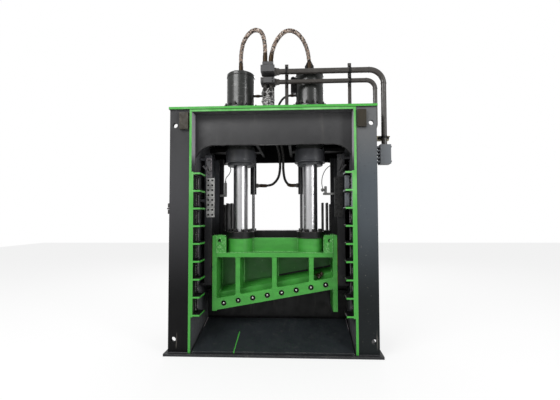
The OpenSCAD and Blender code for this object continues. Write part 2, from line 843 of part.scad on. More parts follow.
module discharge_chute() {
    chute_end = lower_blade_y - bed_t;
    bearer_span = chute_w - bed_t;
    color(iron_black) {
        translate([-chute_w / 2, 0, 0]) rotate([90, 0, 90]) linear_extrude(chute_w)
            polygon([[at(0), chute_front - chute_t], [at(chute_end), chute_back - chute_t],
                [at(chute_end), chute_back], [at(0), chute_front]]);
        for (i = [0 : bearer_count - 1])
            translate([-chute_w / 2 + i * bearer_span / (bearer_count - 1), 0, 0]) rotate([90, 0, 90])
                linear_extrude(bed_t) polygon([[at(0), plate_t], [at(chute_end), plate_t],
                    [at(chute_end), chute_back - chute_t], [at(0), chute_front - chute_t]]);
    }
}

module main_barrels() {
    color(machine_green) at_cylinders() tube(barrel_d, bore_d, collar_low + gland_h, cap_low);
}

module barrel_caps() {
    color(machine_green) at_cylinders() translate([0, 0, cap_low]) rotate_extrude($fn = 96)
        polygon([[0, 0], [barrel_d / 2, 0], [barrel_d / 2, cap_t - cap_bevel],
            [barrel_d / 2 - cap_bevel, cap_t], [0, cap_t]]);
}

// Gland collars: the gland nut, a ring, a groove and the collar body around the barrel's foot
module gland_collars() {
    outer = collar_d / 2;
    nut = gland_nut_d / 2;
    ring = outer + groove_t;
    gland = rod_d / 2 + run_gap;
    ring_top = gland_nut_h + groove_h;
    color(frame_grey) at_cylinders() translate([0, 0, collar_low]) rotate_extrude($fn = 96)
        polygon([[gland, 0], [nut - groove_t, 0], [nut, groove_t], [nut, gland_nut_h], [ring, gland_nut_h],
            [ring, ring_top], [outer - groove_t, ring_top], [outer - groove_t, ring_top + groove_t],
            [outer, ring_top + groove_t], [outer, collar_h], [barrel_d / 2, collar_h],
            [barrel_d / 2, gland_h], [gland, gland_h]]);
}

module seat_flanges() {
    color(machine_green) at_cylinders() tube(seat_d, barrel_d, frame_h, frame_h + seat_t);
}

module seat_bolt_ring() {
    color(iron_black) at_cylinders() for (i = [0 : seat_bolts - 1]) rotate([0, 0, i * 360 / seat_bolts])
        translate([(seat_d + barrel_d) / 4, 0, frame_h + seat_t]) hex(seat_bolt_d, seat_bolt_d / 2);
}

// Window of the carriage's front plate, with rounded corners and a sill that follows the slanted lower edge
module window(left, right) {
    inner_left = left + window_r;
    inner_right = right - window_r;
    sill = bar_h + window_r / cos(slant);
    high = deck_low - window_r;
    low_left = [inner_left, edge(inner_left) + sill];
    low_right = [inner_right, edge(inner_right) + sill];
    down = window_r * [sin(slant), -cos(slant)];
    polygon([[left, low_left[1]], low_left + down, low_right + down, [right, low_right[1]], [right, high],
        [inner_right, high + window_r], [inner_left, high + window_r], [left, high]]);
    for (corner = [low_left, low_right, [inner_left, high], [inner_right, high]])
        translate(corner) circle(r = window_r);
}

module knife_front_plate() {
    inner_left = upright_w / 2;
    inner_right = upright_x - upright_w / 2;
    outer_left = upright_x + upright_w / 2;
    outer_right = car_half - side_t;
    color(machine_green) difference() {
        cross_plate(car_depth, front_t) difference() {
            polygon([[-outer_right, edge(-outer_right)], [outer_right, edge(outer_right)],
                [outer_right, deck_top], [-outer_right, deck_top]]);
            window(inner_left, inner_right);
            window(outer_left, outer_right);
            window(-inner_right, -inner_left);
            window(-outer_right, -outer_left);
        }
        at_blade_bolts() depth_rod(0, car_depth - over, 0, counter_d, front_t + 2 * over);
    }
    color(machine_green)
        block([-outer_right, at(car_depth - lip_t), deck_low], [outer_right, at(car_depth), deck_top]);
}

module knife_back_plate() {
    half = car_half - side_t;
    foot = ledge_back_h + ledge_slot_h;
    color(dark_green) cross_plate(back_front, back_t) polygon([[-half, edge(-half) + foot],
        [half, edge(half) + foot], [half, deck_low], [-half, deck_low]]);
}

// Profile across the carriage, in depth and height, extruded along the slanted lower edge
module along_edge(profile) {
    translate([0, 0, edge_mid]) rotate([0, -slant, 0]) translate([-car_w, 0, 0]) rotate([90, 0, 90])
        linear_extrude(2 * car_w) polygon(profile);
}

// Rise of the slanted ledge's top above the lower edge at a depth
function ledge_rise(depth) = ledge_front_h
    + (ledge_back_h - ledge_front_h) * (depth - ledge_depth) / (back_front - ledge_depth);
// Points of the ledge's top, from the carriage's back over the crest to the sill behind the front plate
function ledge_top(front, crest) = let (level = cos(slant)) [[at(car_back), ledge_rise(crest) * level],
    [at(crest), ledge_rise(crest) * level], [at(ledge_depth), ledge_front_h * level],
    [at(ledge_depth), (bar_h - sill_step) * level], [at(front), (bar_h - sill_step) * level]];

// Bar along the slanted lower edge with the ledge above it and the blade seat behind it
module blade_bar_body() {
    half = car_half - side_t;
    seat = (blade_h - blade_out) * cos(slant);
    intersection() {
        along_edge(concat([[at(bar_front), 0], [at(bar_back), 0], [at(bar_back), seat], [at(car_back), seat]],
            ledge_top(bar_front, back_front)));
        block([-half, at(car_depth), 0], [half, at(car_back), deck_top]);
    }
}

module knife_blade_bar() {
    color(machine_green) difference() {
        blade_bar_body();
        at_blade_bolts() depth_rod(0, bar_front - over, 0, blade_bolt_d, car_t);
    }
}

module knife_side_plates() {
    high = deck_top + block_h;
    color(machine_green) for (left = [-car_half, car_half - side_t])
        translate([left, 0, 0]) rotate([90, 0, 90]) linear_extrude(side_t) polygon([[at(car_depth), side_low],
            [at(car_back), side_low], [at(car_back), high - block_bevel], [at(car_back - block_bevel), high],
            [at(car_depth), high]]);
}

module knife_uprights() {
    color(dark_green) difference() {
        for (x = [-upright_x, 0, upright_x])
            block([x - upright_w / 2, at(bar_front), edge(x) - upright_w],
                [x + upright_w / 2, at(back_front), deck_low]);
        along_edge(concat([[at(bar_front - over), -bar_h], [at(car_back), -bar_h]],
            ledge_top(bar_front - over, back_front + over)));
    }
}

module knife_deck() {
    half = car_half - side_t;
    color(machine_green) block([-half, at(bar_front), deck_low], [half, at(car_back), deck_top]);
}

module corner_blocks() {
    inner = car_half - block_w;
    outer = car_half - side_t;
    high = deck_top + block_h;
    color(machine_green) both_sides() difference() {
        cross_plate(car_depth, block_t) polygon([[inner, deck_top], [outer, deck_top], [outer, high],
            [inner + block_bevel, high], [inner, high - block_bevel]]);
        depth_rod(lift_x, car_depth - over, deck_top + lift_z, lift_d, block_t + 2 * over);
    }
}

// Bosses for the two main rods, joined by a tie plate across the deck
module rod_bosses() {
    color(machine_green) difference() {
        union() {
            at_cylinders() translate([0, 0, deck_top]) cylinder(d = boss_d, h = boss_h, $fn = 96);
            block([-cyl_x, at(cyl_depth - tie_t / 2), deck_top],
                [cyl_x, at(cyl_depth + tie_t / 2), boss_top]);
        }
        at_cylinders() translate([0, 0, boss_top - rod_seat]) cylinder(d = rod_d, h = rod_seat + over);
    }
}

module guide_shoes() {
    shoe_low_z = guide_low + guide_t / 2;
    shoe_high_z = boss_top - shoe_high_h;
    color(guide_bronze) both_sides() {
        block([car_half, at(shoe_front), shoe_high_z],
            [guide_x - shoe_gap, at(shoe_back), shoe_high_z + shoe_high_h]);
        block([car_half, at(shoe_front), shoe_low_z],
            [guide_x - shoe_gap, at(shoe_back), shoe_low_z + shoe_low_h]);
    }
}

module upper_blades() {
    color(bright_steel) difference() {
        cross_plate(bar_back, blade_t) {
            edge_band(-blade_l, -blade_split, -blade_out, blade_h - blade_out);
            edge_band(blade_split, blade_l, -blade_out, blade_h - blade_out);
        }
        at_blade_bolts() depth_rod(0, bar_back - over, 0, blade_bolt_d, blade_t + 2 * over);
    }
}

module upper_blade_bolts() {
    nut_h = blade_bolt_d * nut_share;
    color(bright_steel) at_blade_bolts() {
        depth_rod(0, car_depth + blade_gap, 0, blade_bolt_d, car_t - 2 * blade_gap);
        translate([0, at(bar_front - nut_h), 0]) rotate([-90, 0, 0]) hex(blade_nut_d, nut_h);
    }
}

module main_rods() {
    ring_share = 0.14;
    piston_r = bore_d / 2 - run_gap;
    rod_low = boss_top - rod_seat;
    ring_h = piston_h * ring_share;
    color(bright_steel) at_cylinders() rotate_extrude($fn = 96) polygon([[0, rod_low], [rod_d / 2, rod_low],
        [rod_d / 2, piston_low], [piston_r, piston_low], [piston_r, piston_low + 2 * ring_h],
        [piston_r - ring_t, piston_low + 2 * ring_h], [piston_r - ring_t, piston_low + 3 * ring_h],
        [piston_r, piston_low + 3 * ring_h], [piston_r, piston_low + 4 * ring_h],
        [piston_r - ring_t, piston_low + 4 * ring_h], [piston_r - ring_t, piston_low + 5 * ring_h],
        [piston_r, piston_low + 5 * ring_h], [piston_r, piston_low + piston_h], [0, piston_low + piston_h]]);
}

module rod_flanges() {
    color(iron_black) at_cylinders() tube(rod_flange_d, rod_d, boss_top, boss_top + rod_flange_h);
}

module rod_flange_bolts() {
    bolt_r = (rod_flange_d + rod_d) / 4;
    color(iron_black) at_cylinders() for (i = [0 : rod_bolts - 1])
        rotate([0, 0, (i + 1 / 2) * 360 / rod_bolts]) translate([bolt_r, 0, boss_top + rod_flange_h])
            hex(rod_bolt_d, rod_bolt_d * nut_share);
}

// Hold-down beam over a foot whose teeth run along the blades
module hold_down_beam() {
    foot_d = beam_d + foot_t;
    tooth_pitch = foot_d / tooth_count;
    foot_front = at(hold_depth) - foot_d / 2;
    teeth = [for (i = [0 : tooth_count - 1]) each [[foot_front + i * tooth_pitch, foot_low],
        [foot_front + (i + 1) * tooth_pitch, foot_low - tooth_h]]];
    color(iron_black) {
        block([-beam_w / 2, at(hold_depth - beam_d / 2), beam_top - beam_h],
            [beam_w / 2, at(hold_depth + beam_d / 2), beam_top]);
        translate([-beam_w / 2, 0, 0]) rotate([90, 0, 90]) linear_extrude(beam_w)
            polygon(concat(teeth, [[foot_front + foot_d, foot_low + foot_t],
                [foot_front, foot_low + foot_t]]));
    }
}

module hold_down_ears() {
    color(iron_black) both_sides() for (x = [ear_x, ear_x + ear_gap])
        block([x - ear_t / 2, at(hold_depth - ear_d / 2), beam_top],
            [x + ear_t / 2, at(hold_depth + ear_d / 2), beam_top + ear_h]);
}

module hold_down_legs() {
    color(iron_black) both_sides() block([beam_w / 2, at(hold_depth - leg_d / 2), foot_low],
        [beam_w / 2 + leg_w, at(hold_depth + leg_d / 2), foot_low + leg_h]);
}

module hold_down_rods() {
    piston_r = hold_bore_d / 2 - run_gap;
    nut_r = hold_rod_d;
    nut_top = beam_top + hold_rod_d * nut_share;
    color(bright_steel) at_hold_cylinders() rotate_extrude() polygon([[0, beam_top], [nut_r, beam_top],
        [nut_r, nut_top], [hold_rod_d / 2, nut_top], [hold_rod_d / 2, hold_piston_low],
        [piston_r, hold_piston_low], [piston_r, hold_piston_low + hold_piston_h],
        [0, hold_piston_low + hold_piston_h]]);
}

module hold_down_cylinders() {
    outer = hold_barrel_d / 2;
    inner = hold_bore_d / 2;
    gland = hold_rod_d / 2 + run_gap;
    color(worn_steel) at_hold_cylinders() rotate_extrude() polygon([[gland, hold_low], [outer, hold_low],
        [outer, hold_high], [0, hold_high], [0, hold_high - hold_end_t], [inner, hold_high - hold_end_t],
        [inner, hold_low + hold_end_t], [gland, hold_low + hold_end_t]]);
}

module hold_down_crossbar() {
    inner = header_rib_x + header_rib_t / 2;
    color(frame_grey) both_sides() difference() {
        block([inner, at(hold_depth - hold_barrel_d), crossbar_low],
            [web_in, at(hold_depth + hold_barrel_d), crossbar_low + crossbar_t]);
        translate([hold_x, at(hold_depth), crossbar_low - over])
            cylinder(d = hold_barrel_d, h = crossbar_t + 2 * over);
    }
}

// Rails beside the hold-down legs with a gib post in front of each leg
module hold_down_guides() {
    face = beam_w / 2 + leg_w + 2 * shoe_gap;
    rail_top = rear_header_low;
    post_back = hold_depth - leg_d / 2 - 2 * shoe_gap;
    color(frame_grey) both_sides() {
        block([face, at(post_back), guide_low], [web_in, at(hold_depth + leg_d / 2), rail_top]);
        block([face - gib_post_w, at(post_back - gib_post_t), guide_low], [web_in, at(post_back), rail_top]);
    }
}

module valve_blocks() {
    left = -valve_x - valve_w / 2;
    right = -valve_x + valve_w / 2;
    collar_w = port_pitch + fitting_d;
    front = valve_y - valve_d / 2;
    stand_front = valve_y + valve_d / 2;
    color(iron_black) {
        block([left, at(front), valve_z], [right, at(stand_front), valve_top]);
        block([-valve_x - collar_w / 2, at(valve_y - fitting_d / 2), valve_top],
            [-valve_x + collar_w / 2, at(valve_y + fitting_d / 2), valve_top + groove_h]);
        block([left, at(front), low_valve_z], [right, at(stand_front), low_valve_z + low_valve_h]);
        block([left + post_t, at(stand_front + seam), frame_h + post_t + seam],
            [right - post_t, at(stand_front + post_t), valve_top]);
        block([left, at(stand_front), frame_h], [right, at(stand_front + 4 * post_t), frame_h + post_t]);
    }
}

module pressure_pipe() {
    pipe_start = valve_w / 2 - valve_x;
    color(iron_black) {
        translate([pipe_start, at(pipe_depth), pressure_z]) rotate([0, 90, 0])
            cylinder(d = pressure_d, h = pressure_x - pressure_r - pipe_start);
        translate([pressure_x - pressure_r, at(pipe_depth), pressure_z - pressure_r]) rotate([90, 0, 0])
            rotate_extrude(angle = 90, $fn = 96) translate([pressure_r, 0]) circle(d = pressure_d);
        translate([pressure_x, at(pipe_depth), port_top])
            cylinder(d = pressure_d, h = pressure_z - pressure_r - port_top);
    }
}

module return_pipe() {
    pipe_start = valve_w / 2 - valve_x;
    drop = return_z - return_turn - 2 * return_r;
    color(iron_black) {
        translate([pipe_start, at(pipe_depth), return_z]) rotate([0, 90, 0])
            cylinder(d = return_d, h = return_x - return_r - pipe_start);
        translate([return_x - return_r, at(pipe_depth), return_z - return_r]) rotate([90, 0, 0])
            rotate_extrude(angle = 90, $fn = 96) translate([return_r, 0]) circle(d = return_d);
        translate([return_x, at(pipe_depth), return_turn + return_r]) cylinder(d = return_d, h = drop);
        translate([return_x - return_r, at(pipe_depth), return_turn + return_r]) rotate([90, 0, 0])
            rotate_extrude(angle = -90, $fn = 96) translate([return_r, 0]) circle(d = return_d);
        translate([web_out, at(pipe_depth), return_turn]) rotate([0, 90, 0]) {
            cylinder(d = return_d, h = return_x - return_r - web_out);
            cylinder(d = return_flange_d, h = 2 * post_t);
        }
    }
}

// Offset of a clamp's bolts from the middle of its pipe
function clamp_offset(pipe_d) = pipe_d / 2 + clamp_t + clamp_nut_d / 2;

module pipe_posts() {
    post_depth = pipe_depth + pressure_d / 2;
    hole_d = clamp_d + 2 * barrel_gap;
    rail_low = bracket_z - bracket_w / 2;
    bolt_heights = [for (side = [-1, 1]) each [pressure_z + side * clamp_offset(pressure_d),
        return_z + side * clamp_offset(return_d)]];
    color(frame_grey) for (x = [inner_post_x, post_x]) {
        difference() {
            block([x - post_w / 2, at(post_depth), frame_h],
                [x + post_w / 2, at(post_depth + post_t), post_top]);
            for (z = bolt_heights) depth_rod(x, post_depth - over, z, hole_d, post_t + 2 * over);
        }
        block([x - post_w, at(post_depth + post_t), frame_h],
            [x + post_w, at(post_depth + post_t + post_w), frame_h + post_t]);
    }
    color(olive_paint) {
        difference() {
            block([web_out, at(post_depth), rail_low],
                [half_w + bracket_reach, at(post_depth + bracket_t), rail_low + bracket_w]);
            for (side = [-1, 1])
                depth_rod(pressure_x + side * clamp_offset(pressure_d), post_depth - over, bracket_z,
                    hole_d, bracket_t + 2 * over);
        }
        block([web_out, at(post_depth + bracket_t), rail_low],
            [half_w + bracket_reach, at(post_depth + bracket_w), rail_low + bracket_t]);
    }
}

// Strap over the front of a pipe along X, with its two bolts through the bar behind the pipe
module pipe_clamp(pipe_d, bar_t) {
    inner = pipe_d / 2;
    outer = inner + clamp_t;
    bolt_z = clamp_offset(pipe_d);
    ear_back = pressure_d / 2;
    translate([-clamp_w / 2, 0, 0]) rotate([90, 0, 90]) {
        linear_extrude(clamp_w) difference() {
            union() {
                circle(r = outer);
                translate([0, -outer]) square([ear_back, 2 * outer]);
                translate([ear_back - clamp_t, -bolt_z - clamp_nut_d / 2])
                    square([clamp_t, 2 * bolt_z + clamp_nut_d]);
            }
            circle(r = inner);
            translate([0, -inner]) square([ear_back + over, 2 * inner]);
            translate([ear_back, -outer]) square([outer, 2 * outer]);
        }
    }
    for (side = [-1, 1]) translate([0, ear_back + bar_t + clamp_t, side * bolt_z]) rotate([90, 0, 0]) {
        cylinder(d = clamp_d, h = clamp_reach + bar_t + 2 * clamp_t, $fn = 24);
        translate([0, 0, bar_t + 2 * clamp_t]) hex(clamp_nut_d, clamp_d * nut_share);
    }
}

module pipe_clamps() {
    color(iron_black) {
        for (x = [inner_post_x, post_x]) {
            translate([x, at(pipe_depth), pressure_z]) pipe_clamp(pressure_d, post_t);
            translate([x, at(pipe_depth), return_z]) pipe_clamp(return_d, post_t);
        }
        translate([pressure_x, at(pipe_depth), bracket_z]) rotate([0, 90, 0])
            pipe_clamp(pressure_d, bracket_t);
    }
}

module port_block() {
    bolt_shares = [0.12, 0.31, 0.5, 0.69, 0.88];
    face_x = pump_face_x - port_w;
    color(iron_black) {
        difference() {
            block([face_x, at(pipe_depth - port_d / 2), port_top - port_h],
                [pump_face_x, at(pipe_depth + port_d / 2), port_top]);
            translate([pump_face_x - pump_port_l, at(pipe_depth), port_top - port_h / 2]) rotate([0, 90, 0])
                cylinder(d = pump_port_d, h = pump_port_l + over);
        }
        for (share = bolt_shares) for (side = [-1, 1])
            translate([face_x, at(pipe_depth + side * (port_d / 2 - port_bolt_d)), port_top - port_h * share])
                rotate([0, -90, 0]) cylinder(d = port_bolt_d, h = 2 * port_bolt_d, $fn = 24);
    }
}

// Hose fitting: a six-sided nut with a smooth ferrule, standing along Z
module fitting() {
    hex(fitting_d, fitting_l / 2);
    translate([0, 0, fitting_l / 2]) cylinder(d = hose_d + groove_t, h = fitting_l / 2);
}

module hose_fittings() {
    color(worn_steel) {
        at_cylinders() translate([0, 0, barrel_top]) fitting();
        for (side = [-1, 1]) {
            translate([-valve_x + side * port_pitch / 2, at(valve_y), valve_top + groove_h]) fitting();
            translate([-valve_x + side * port_pitch / 2, at(valve_y), low_valve_z])
                mirror([0, 0, 1]) fitting();
            translate([side * (hold_x - hold_barrel_d / 2), at(hold_depth), side_port_z])
                rotate([0, -side * 90, 0]) fitting();
            translate([side * (cyl_x - barrel_d / 2), at(cyl_depth), drain_z]) rotate([0, -side * 90, 0])
                cylinder(d = small_hose_d + groove_t, h = small_hose_d);
        }
        for (x = drain_foot_x)
            translate([x, at(drain_foot_depth), frame_h])
                cylinder(d = small_hose_d + groove_t, h = small_hose_d - groove_t);
    }
}

// Valve on the left side of the right cylinder, with a round cap to the front
module side_valve() {
    left = cyl_x - barrel_d / 2 - side_valve_w;
    middle = left + side_valve_w / 2;
    cap_front = cyl_depth - side_valve_w;
    cap_z = side_valve_z + side_valve_h - side_valve_w / 2;
    color(iron_black) difference() {
        union() {
            block([left, at(cyl_depth - side_valve_w / 2), side_valve_z],
                [cyl_x - barrel_d / 2 + side_valve_w / 4, at(cyl_depth + side_valve_w / 2),
                side_valve_z + side_valve_h]);
            depth_rod(middle, cap_front, cap_z, side_valve_w, side_valve_w / 2);
        }
        translate([cyl_x, at(cyl_depth), side_valve_z - over])
            cylinder(d = barrel_d, h = side_valve_h + 2 * over, $fn = 96);
        depth_rod(middle, cap_front - over, cap_z, side_valve_w / 2, side_valve_w / 4);
    }
}

// Direction from one route point to the next, as a unit vector
function heading(route, i) =
    let (a = route[max(i - 1, 0)], b = route[min(i + 1, len(route) - 1)]) (b - a) / norm(b - a);
// Ring of points around one route point, square to the route
function hose_ring(route, i, sides, d) =
    let (ahead = heading(route, i), flat = cross(ahead, [0, 1, 0]), side = flat / norm(flat),
        up = cross(side, ahead))
    [for (k = [0 : sides - 1]) let (turn = 360 * k / sides)
        route[i] + (side * cos(turn) + up * sin(turn)) * d / 2];

// Hose that follows a route, as one closed tube
module hose(route, d) {
    sides = 10;
    last = len(route) - 1;
    points = [for (i = [0 : last]) each hose_ring(route, i, sides, d)];
    walls = [for (i = [0 : last - 1]) for (k = [0 : sides - 1])
        let (a = i * sides + k, b = i * sides + (k + 1) % sides)
        each [[a, b, b + sides], [a, b + sides, a + sides]]];
    ends = [[for (k = [sides - 1 : -1 : 0]) k], [for (k = [0 : sides - 1]) last * sides + k]];
    polyhedron(points, concat(walls, ends));
}

module left_cylinder_hose() {
    color(hose_grey) hose(placed(left_hose_route), hose_d);
}

module right_cylinder_hose() {
    color(hose_grey) hose(placed(right_hose_route), hose_d);
}

module left_hold_down_hose() {
    color(hose_grey) hose(placed(left_hold_route), drop_hose_d);
}

module right_hold_down_hose() {
    color(hose_grey) hose(placed(right_hold_route), drop_hose_d);
}

module left_drain_hose() {
    color(iron_black) hose(placed(left_drain_route), small_hose_d);
}

module right_drain_hose() {
    color(iron_black) hose(placed(right_drain_route), small_hose_d);
}

base_plate();
web_plates();
front_flanges();
rear_flanges();
column_stiffeners();
pad_plates();
top_plate();
front_header();
rear_header();
header_ribs();
rib_combs();
guides();
gib_covers();
gib_cover_screws();
eye_plates();
bed_frame();
bed_table();
lower_blades();
lower_blade_bolts();
discharge_chute();
main_barrels();
barrel_caps();
gland_collars();
seat_flanges();
seat_bolt_ring();
knife_front_plate();
knife_back_plate();
knife_blade_bar();
knife_side_plates();
knife_uprights();
knife_deck();
corner_blocks();
rod_bosses();
guide_shoes();
upper_blades();
upper_blade_bolts();
main_rods();
rod_flanges();
rod_flange_bolts();
hold_down_beam();
hold_down_ears();
hold_down_legs();
hold_down_rods();
hold_down_cylinders();
hold_down_crossbar();
hold_down_guides();
valve_blocks();
pressure_pipe();
return_pipe();
pipe_posts();
pipe_clamps();
port_block();
hose_fittings();
side_valve();
left_cylinder_hose();
right_cylinder_hose();
left_hold_down_hose();
right_hold_down_hose();
left_drain_hose();
right_drain_hose();
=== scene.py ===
import math
import random

import bmesh
import bpy
from mathutils import Matrix, Vector, noise


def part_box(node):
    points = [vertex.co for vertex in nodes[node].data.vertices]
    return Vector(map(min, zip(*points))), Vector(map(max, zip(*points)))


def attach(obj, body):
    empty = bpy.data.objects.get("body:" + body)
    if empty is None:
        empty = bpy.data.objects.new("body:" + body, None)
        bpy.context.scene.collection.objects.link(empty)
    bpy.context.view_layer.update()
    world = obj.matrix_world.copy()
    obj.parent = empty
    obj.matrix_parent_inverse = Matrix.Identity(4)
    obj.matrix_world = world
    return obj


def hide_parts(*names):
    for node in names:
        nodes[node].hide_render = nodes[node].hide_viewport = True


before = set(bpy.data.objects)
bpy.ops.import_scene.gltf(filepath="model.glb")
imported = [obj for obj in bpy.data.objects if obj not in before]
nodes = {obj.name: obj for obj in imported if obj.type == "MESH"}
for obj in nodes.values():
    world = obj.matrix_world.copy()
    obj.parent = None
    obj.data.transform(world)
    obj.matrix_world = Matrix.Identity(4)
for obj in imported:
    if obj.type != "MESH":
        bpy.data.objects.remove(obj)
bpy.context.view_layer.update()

MM = 0.001
SIDES = (-1, 1)
FRONT, RIGHT, UP = Vector((0, -1, 0)), Vector((1, 0, 0)), Vector((0, 0, 1))

# In millimetres; depths are counted from the front edges of the web plates, as in the part's source
FRAME_DEPTH = 1050
CYLINDER_X = 400
CYLINDER_DEPTH = 446
PIPE_DEPTH = 245

# In metres: from a rib comb's end to its outermost rib's middle, and half a rib's thickness
COMB_MARGIN = 0.018
RIB_HALF = 0.009
BAYS = 8

# In metres: the height of the carriage's slanted lower edge in the middle, its rise to the right, and what lies
# above that edge; the blade bolts are in two rows of four
EDGE_MIDDLE = 0.495
EDGE_SLOPE = 0.182
LEDGE_RISE = 0.2
BOLT_RISE = 0.06
BOLT_PITCH = 0.16
BLADE_MIDDLE = 0.31775


def at(x, depth, z):
    """Point in metres from a place across, a depth and a height in millimetres."""
    return Vector((x, depth - FRAME_DEPTH / 2, z)) * MM


def low(node):
    """Left, front, lower corner of a node's box."""
    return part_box(node)[0]


def high(node):
    """Right, rear, upper corner of a node's box."""
    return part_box(node)[1]


def cylinder(side, z):
    """Place on a main cylinder's axis: side is -1 on the left and 1 on the right, z in metres."""
    return Vector((side * CYLINDER_X * MM, (CYLINDER_DEPTH - FRAME_DEPTH / 2) * MM, z))


def edge_height(x):
    """Height of the carriage's slanted lower edge at a place across."""
    return EDGE_MIDDLE + EDGE_SLOPE * x


def rib_height(number):
    """Height of a rib's middle, counted from 0 at the lowest; halves give the middles of the bays."""
    first, last = low("rib_combs").z + COMB_MARGIN, high("rib_combs").z - COMB_MARGIN
    return first + (last - first) / BAYS * number


def ink(red, green, blue):
    """Linear colour from the usual 0 to 255 values."""
    shares = (c / 255 for c in (red, green, blue))
    return tuple(s / 12.92 if s <= 10 / 255 else ((s + 0.055) / 1.055) ** 2.4 for s in shares) + (1,)


GREEN = ink(66, 151, 60)
GREEN_PALE = ink(122, 186, 116)
GREEN_DEEP = ink(34, 84, 34)
CHARCOAL = ink(82, 83, 86)
SLATE = ink(38, 42, 45)
SOOT = ink(14, 14, 15)
COAL = ink(30, 30, 33)
DUST = ink(148, 142, 134)
STEEL = ink(176, 176, 174)
STEEL_DARK = ink(92, 92, 94)
CHROME = ink(214, 214, 216)
RUST = ink(112, 78, 52)
OLIVE = ink(42, 37, 26)
BEIGE = ink(168, 160, 132)
PIPE_GREY = ink(58, 55, 52)
WHITE = (1, 1, 1, 1)
# Multiplied over a colour where it is mottled
SHADE = (0.55, 0.55, 0.56, 1)
COLUMN_SHADE = (0.62, 0.62, 0.64, 1)

EDGE_RADIUS = 0.004


class Finish:
    """A node material: its shader, with short ways to add textures to it."""

    def __init__(self, name, colour, metallic=0.0, specular=0.3, coat=0.0):
        self.material = bpy.data.materials.new(name)
        self.material.use_nodes = True
        self.tree = self.material.node_tree
        self.tree.nodes.clear()
        self.shader = self.add("ShaderNodeBsdfPrincipled")
        self.surface = self.add("ShaderNodeOutputMaterial").inputs["Surface"]
        self.put(self.surface, self.shader.outputs["BSDF"])
        self.shader.inputs["Metallic"].default_value = metallic
        self.shader.inputs["Specular IOR Level"].default_value = specular
        self.shader.inputs["Coat Weight"].default_value = coat
        self.shader.inputs["Coat Roughness"].default_value = 0.12
        self.colour = colour
        self.roughness = 0.5
        coordinates = self.add("ShaderNodeTexCoord")
        self.place = coordinates.outputs["Object"]
        self.uv = coordinates.outputs["UV"]
        self.facing = coordinates.outputs["Normal"]

    def add(self, kind, **settings):
        node = self.tree.nodes.new(kind)
        for key, value in settings.items():
            setattr(node, key, value)
        return node

    def put(self, socket, value):
        """Links a socket's value into another one, or sets it to a constant."""
        if isinstance(value, bpy.types.NodeSocket):
            self.tree.links.new(value, socket)
        else:
            socket.default_value = value

    def noise(self, scale, stretch=(1, 1, 1), detail=5, roughness=0.6, source=None):
        mapping = self.add("ShaderNodeMapping")
        mapping.inputs["Scale"].default_value = stretch
        self.put(mapping.inputs["Vector"], source or self.place)
        texture = self.add("ShaderNodeTexNoise")
        self.put(texture.inputs["Vector"], mapping.outputs["Vector"])
        texture.inputs["Scale"].default_value = scale
        texture.inputs["Detail"].default_value = detail
        texture.inputs["Roughness"].default_value = roughness
        return texture.outputs["Fac"]

    def ramp(self, value, start, end, to_start=0.0, to_end=1.0):
        """Smooth passage from to_start to to_end while a value goes from start to end."""
        node = self.add("ShaderNodeMapRange", interpolation_type="SMOOTHSTEP")
        for key, number in (("From Min", start), ("From Max", end), ("To Min", to_start), ("To Max", to_end)):
            node.inputs[key].default_value = number
        self.put(node.inputs["Value"], value)
        return node.outputs["Result"]

    def patch(self, scale, start, end, to_start=0.0, to_end=1.0, **texture):
        """Ramp over a noise."""
        return self.ramp(self.noise(scale, **texture), start, end, to_start, to_end)

    def combine(self, operation, first, second=0.0):
        node = self.add("ShaderNodeMath", operation=operation)
        self.put(node.inputs[0], first)
        self.put(node.inputs[1], second)
        return node.outputs["Value"]

    def product(self, first, *others):
        for other in others:
            first = self.combine("MULTIPLY", first, other)
        return first

    def axis(self, name, source=None):
        """One coordinate of the place, or of another vector."""
        node = self.add("ShaderNodeSeparateXYZ")
        self.put(node.inputs["Vector"], source or self.place)
        return node.outputs[name]

    def mix(self, share, first, second, kind="MIX"):
        node = self.add("ShaderNodeMix", data_type="RGBA", blend_type=kind)
        self.put(node.inputs["Factor"], share)
        self.put(node.inputs[6], first)
        self.put(node.inputs[7], second)
        return node.outputs[2]

    def rounded(self, wear=0.0):
        """Softens sharp edges and, with a share given, lightens them towards the colour of dust: partly rubbed wear,
        partly a painted highlight along the edges.
        """
        bevel = self.add("ShaderNodeBevel", samples=4)
        bevel.inputs["Radius"].default_value = EDGE_RADIUS
        self.put(self.shader.inputs["Normal"], bevel.outputs["Normal"])
        if wear:
            geometry = self.add("ShaderNodeNewGeometry")
            turn = self.add("ShaderNodeVectorMath", operation="DOT_PRODUCT")
            self.put(turn.inputs[0], bevel.outputs["Normal"])
            self.put(turn.inputs[1], geometry.outputs["Normal"])
            # Painted highlight and wear: the edges turn paler in patches
            edge = self.ramp(turn.outputs["Value"], 0.995, 0.93, 0.0, wear)
            patch = self.patch(24, 0.36, 0.62, detail=6)
            self.tint(self.product(edge, patch), DUST)
        return self

    def tint(self, share, colour, kind="MIX"):
        """Lays a colour over what is there, where share says."""
        self.colour = self.mix(share, self.colour, colour, kind)
        return self

    def stain(self, colour, scale, start, end, share=1.0, kind="MIX", **texture):
        """Lays a colour over in the patches of a noise."""
        return self.tint(self.patch(scale, start, end, 0.0, share, **texture), colour, kind)

    def roughen(self, scale, smooth, rough, **texture):
        self.roughness = self.patch(scale, 0.3, 0.7, smooth, rough, **texture)
        return self

    def bump(self, scale, strength, distance, **texture):
        node = self.add("ShaderNodeBump")
        node.inputs["Strength"].default_value = strength
        node.inputs["Distance"].default_value = distance
        self.put(node.inputs["Height"], self.noise(scale, **texture))
        if self.shader.inputs["Normal"].is_linked:
            self.put(node.inputs["Normal"], self.shader.inputs["Normal"].links[0].from_socket)
        self.put(self.shader.inputs["Normal"], node.outputs["Normal"])
        return self

    def done(self):
        self.put(self.shader.inputs["Base Color"], self.colour)
        self.put(self.shader.inputs["Roughness"], self.roughness)
        return self.material


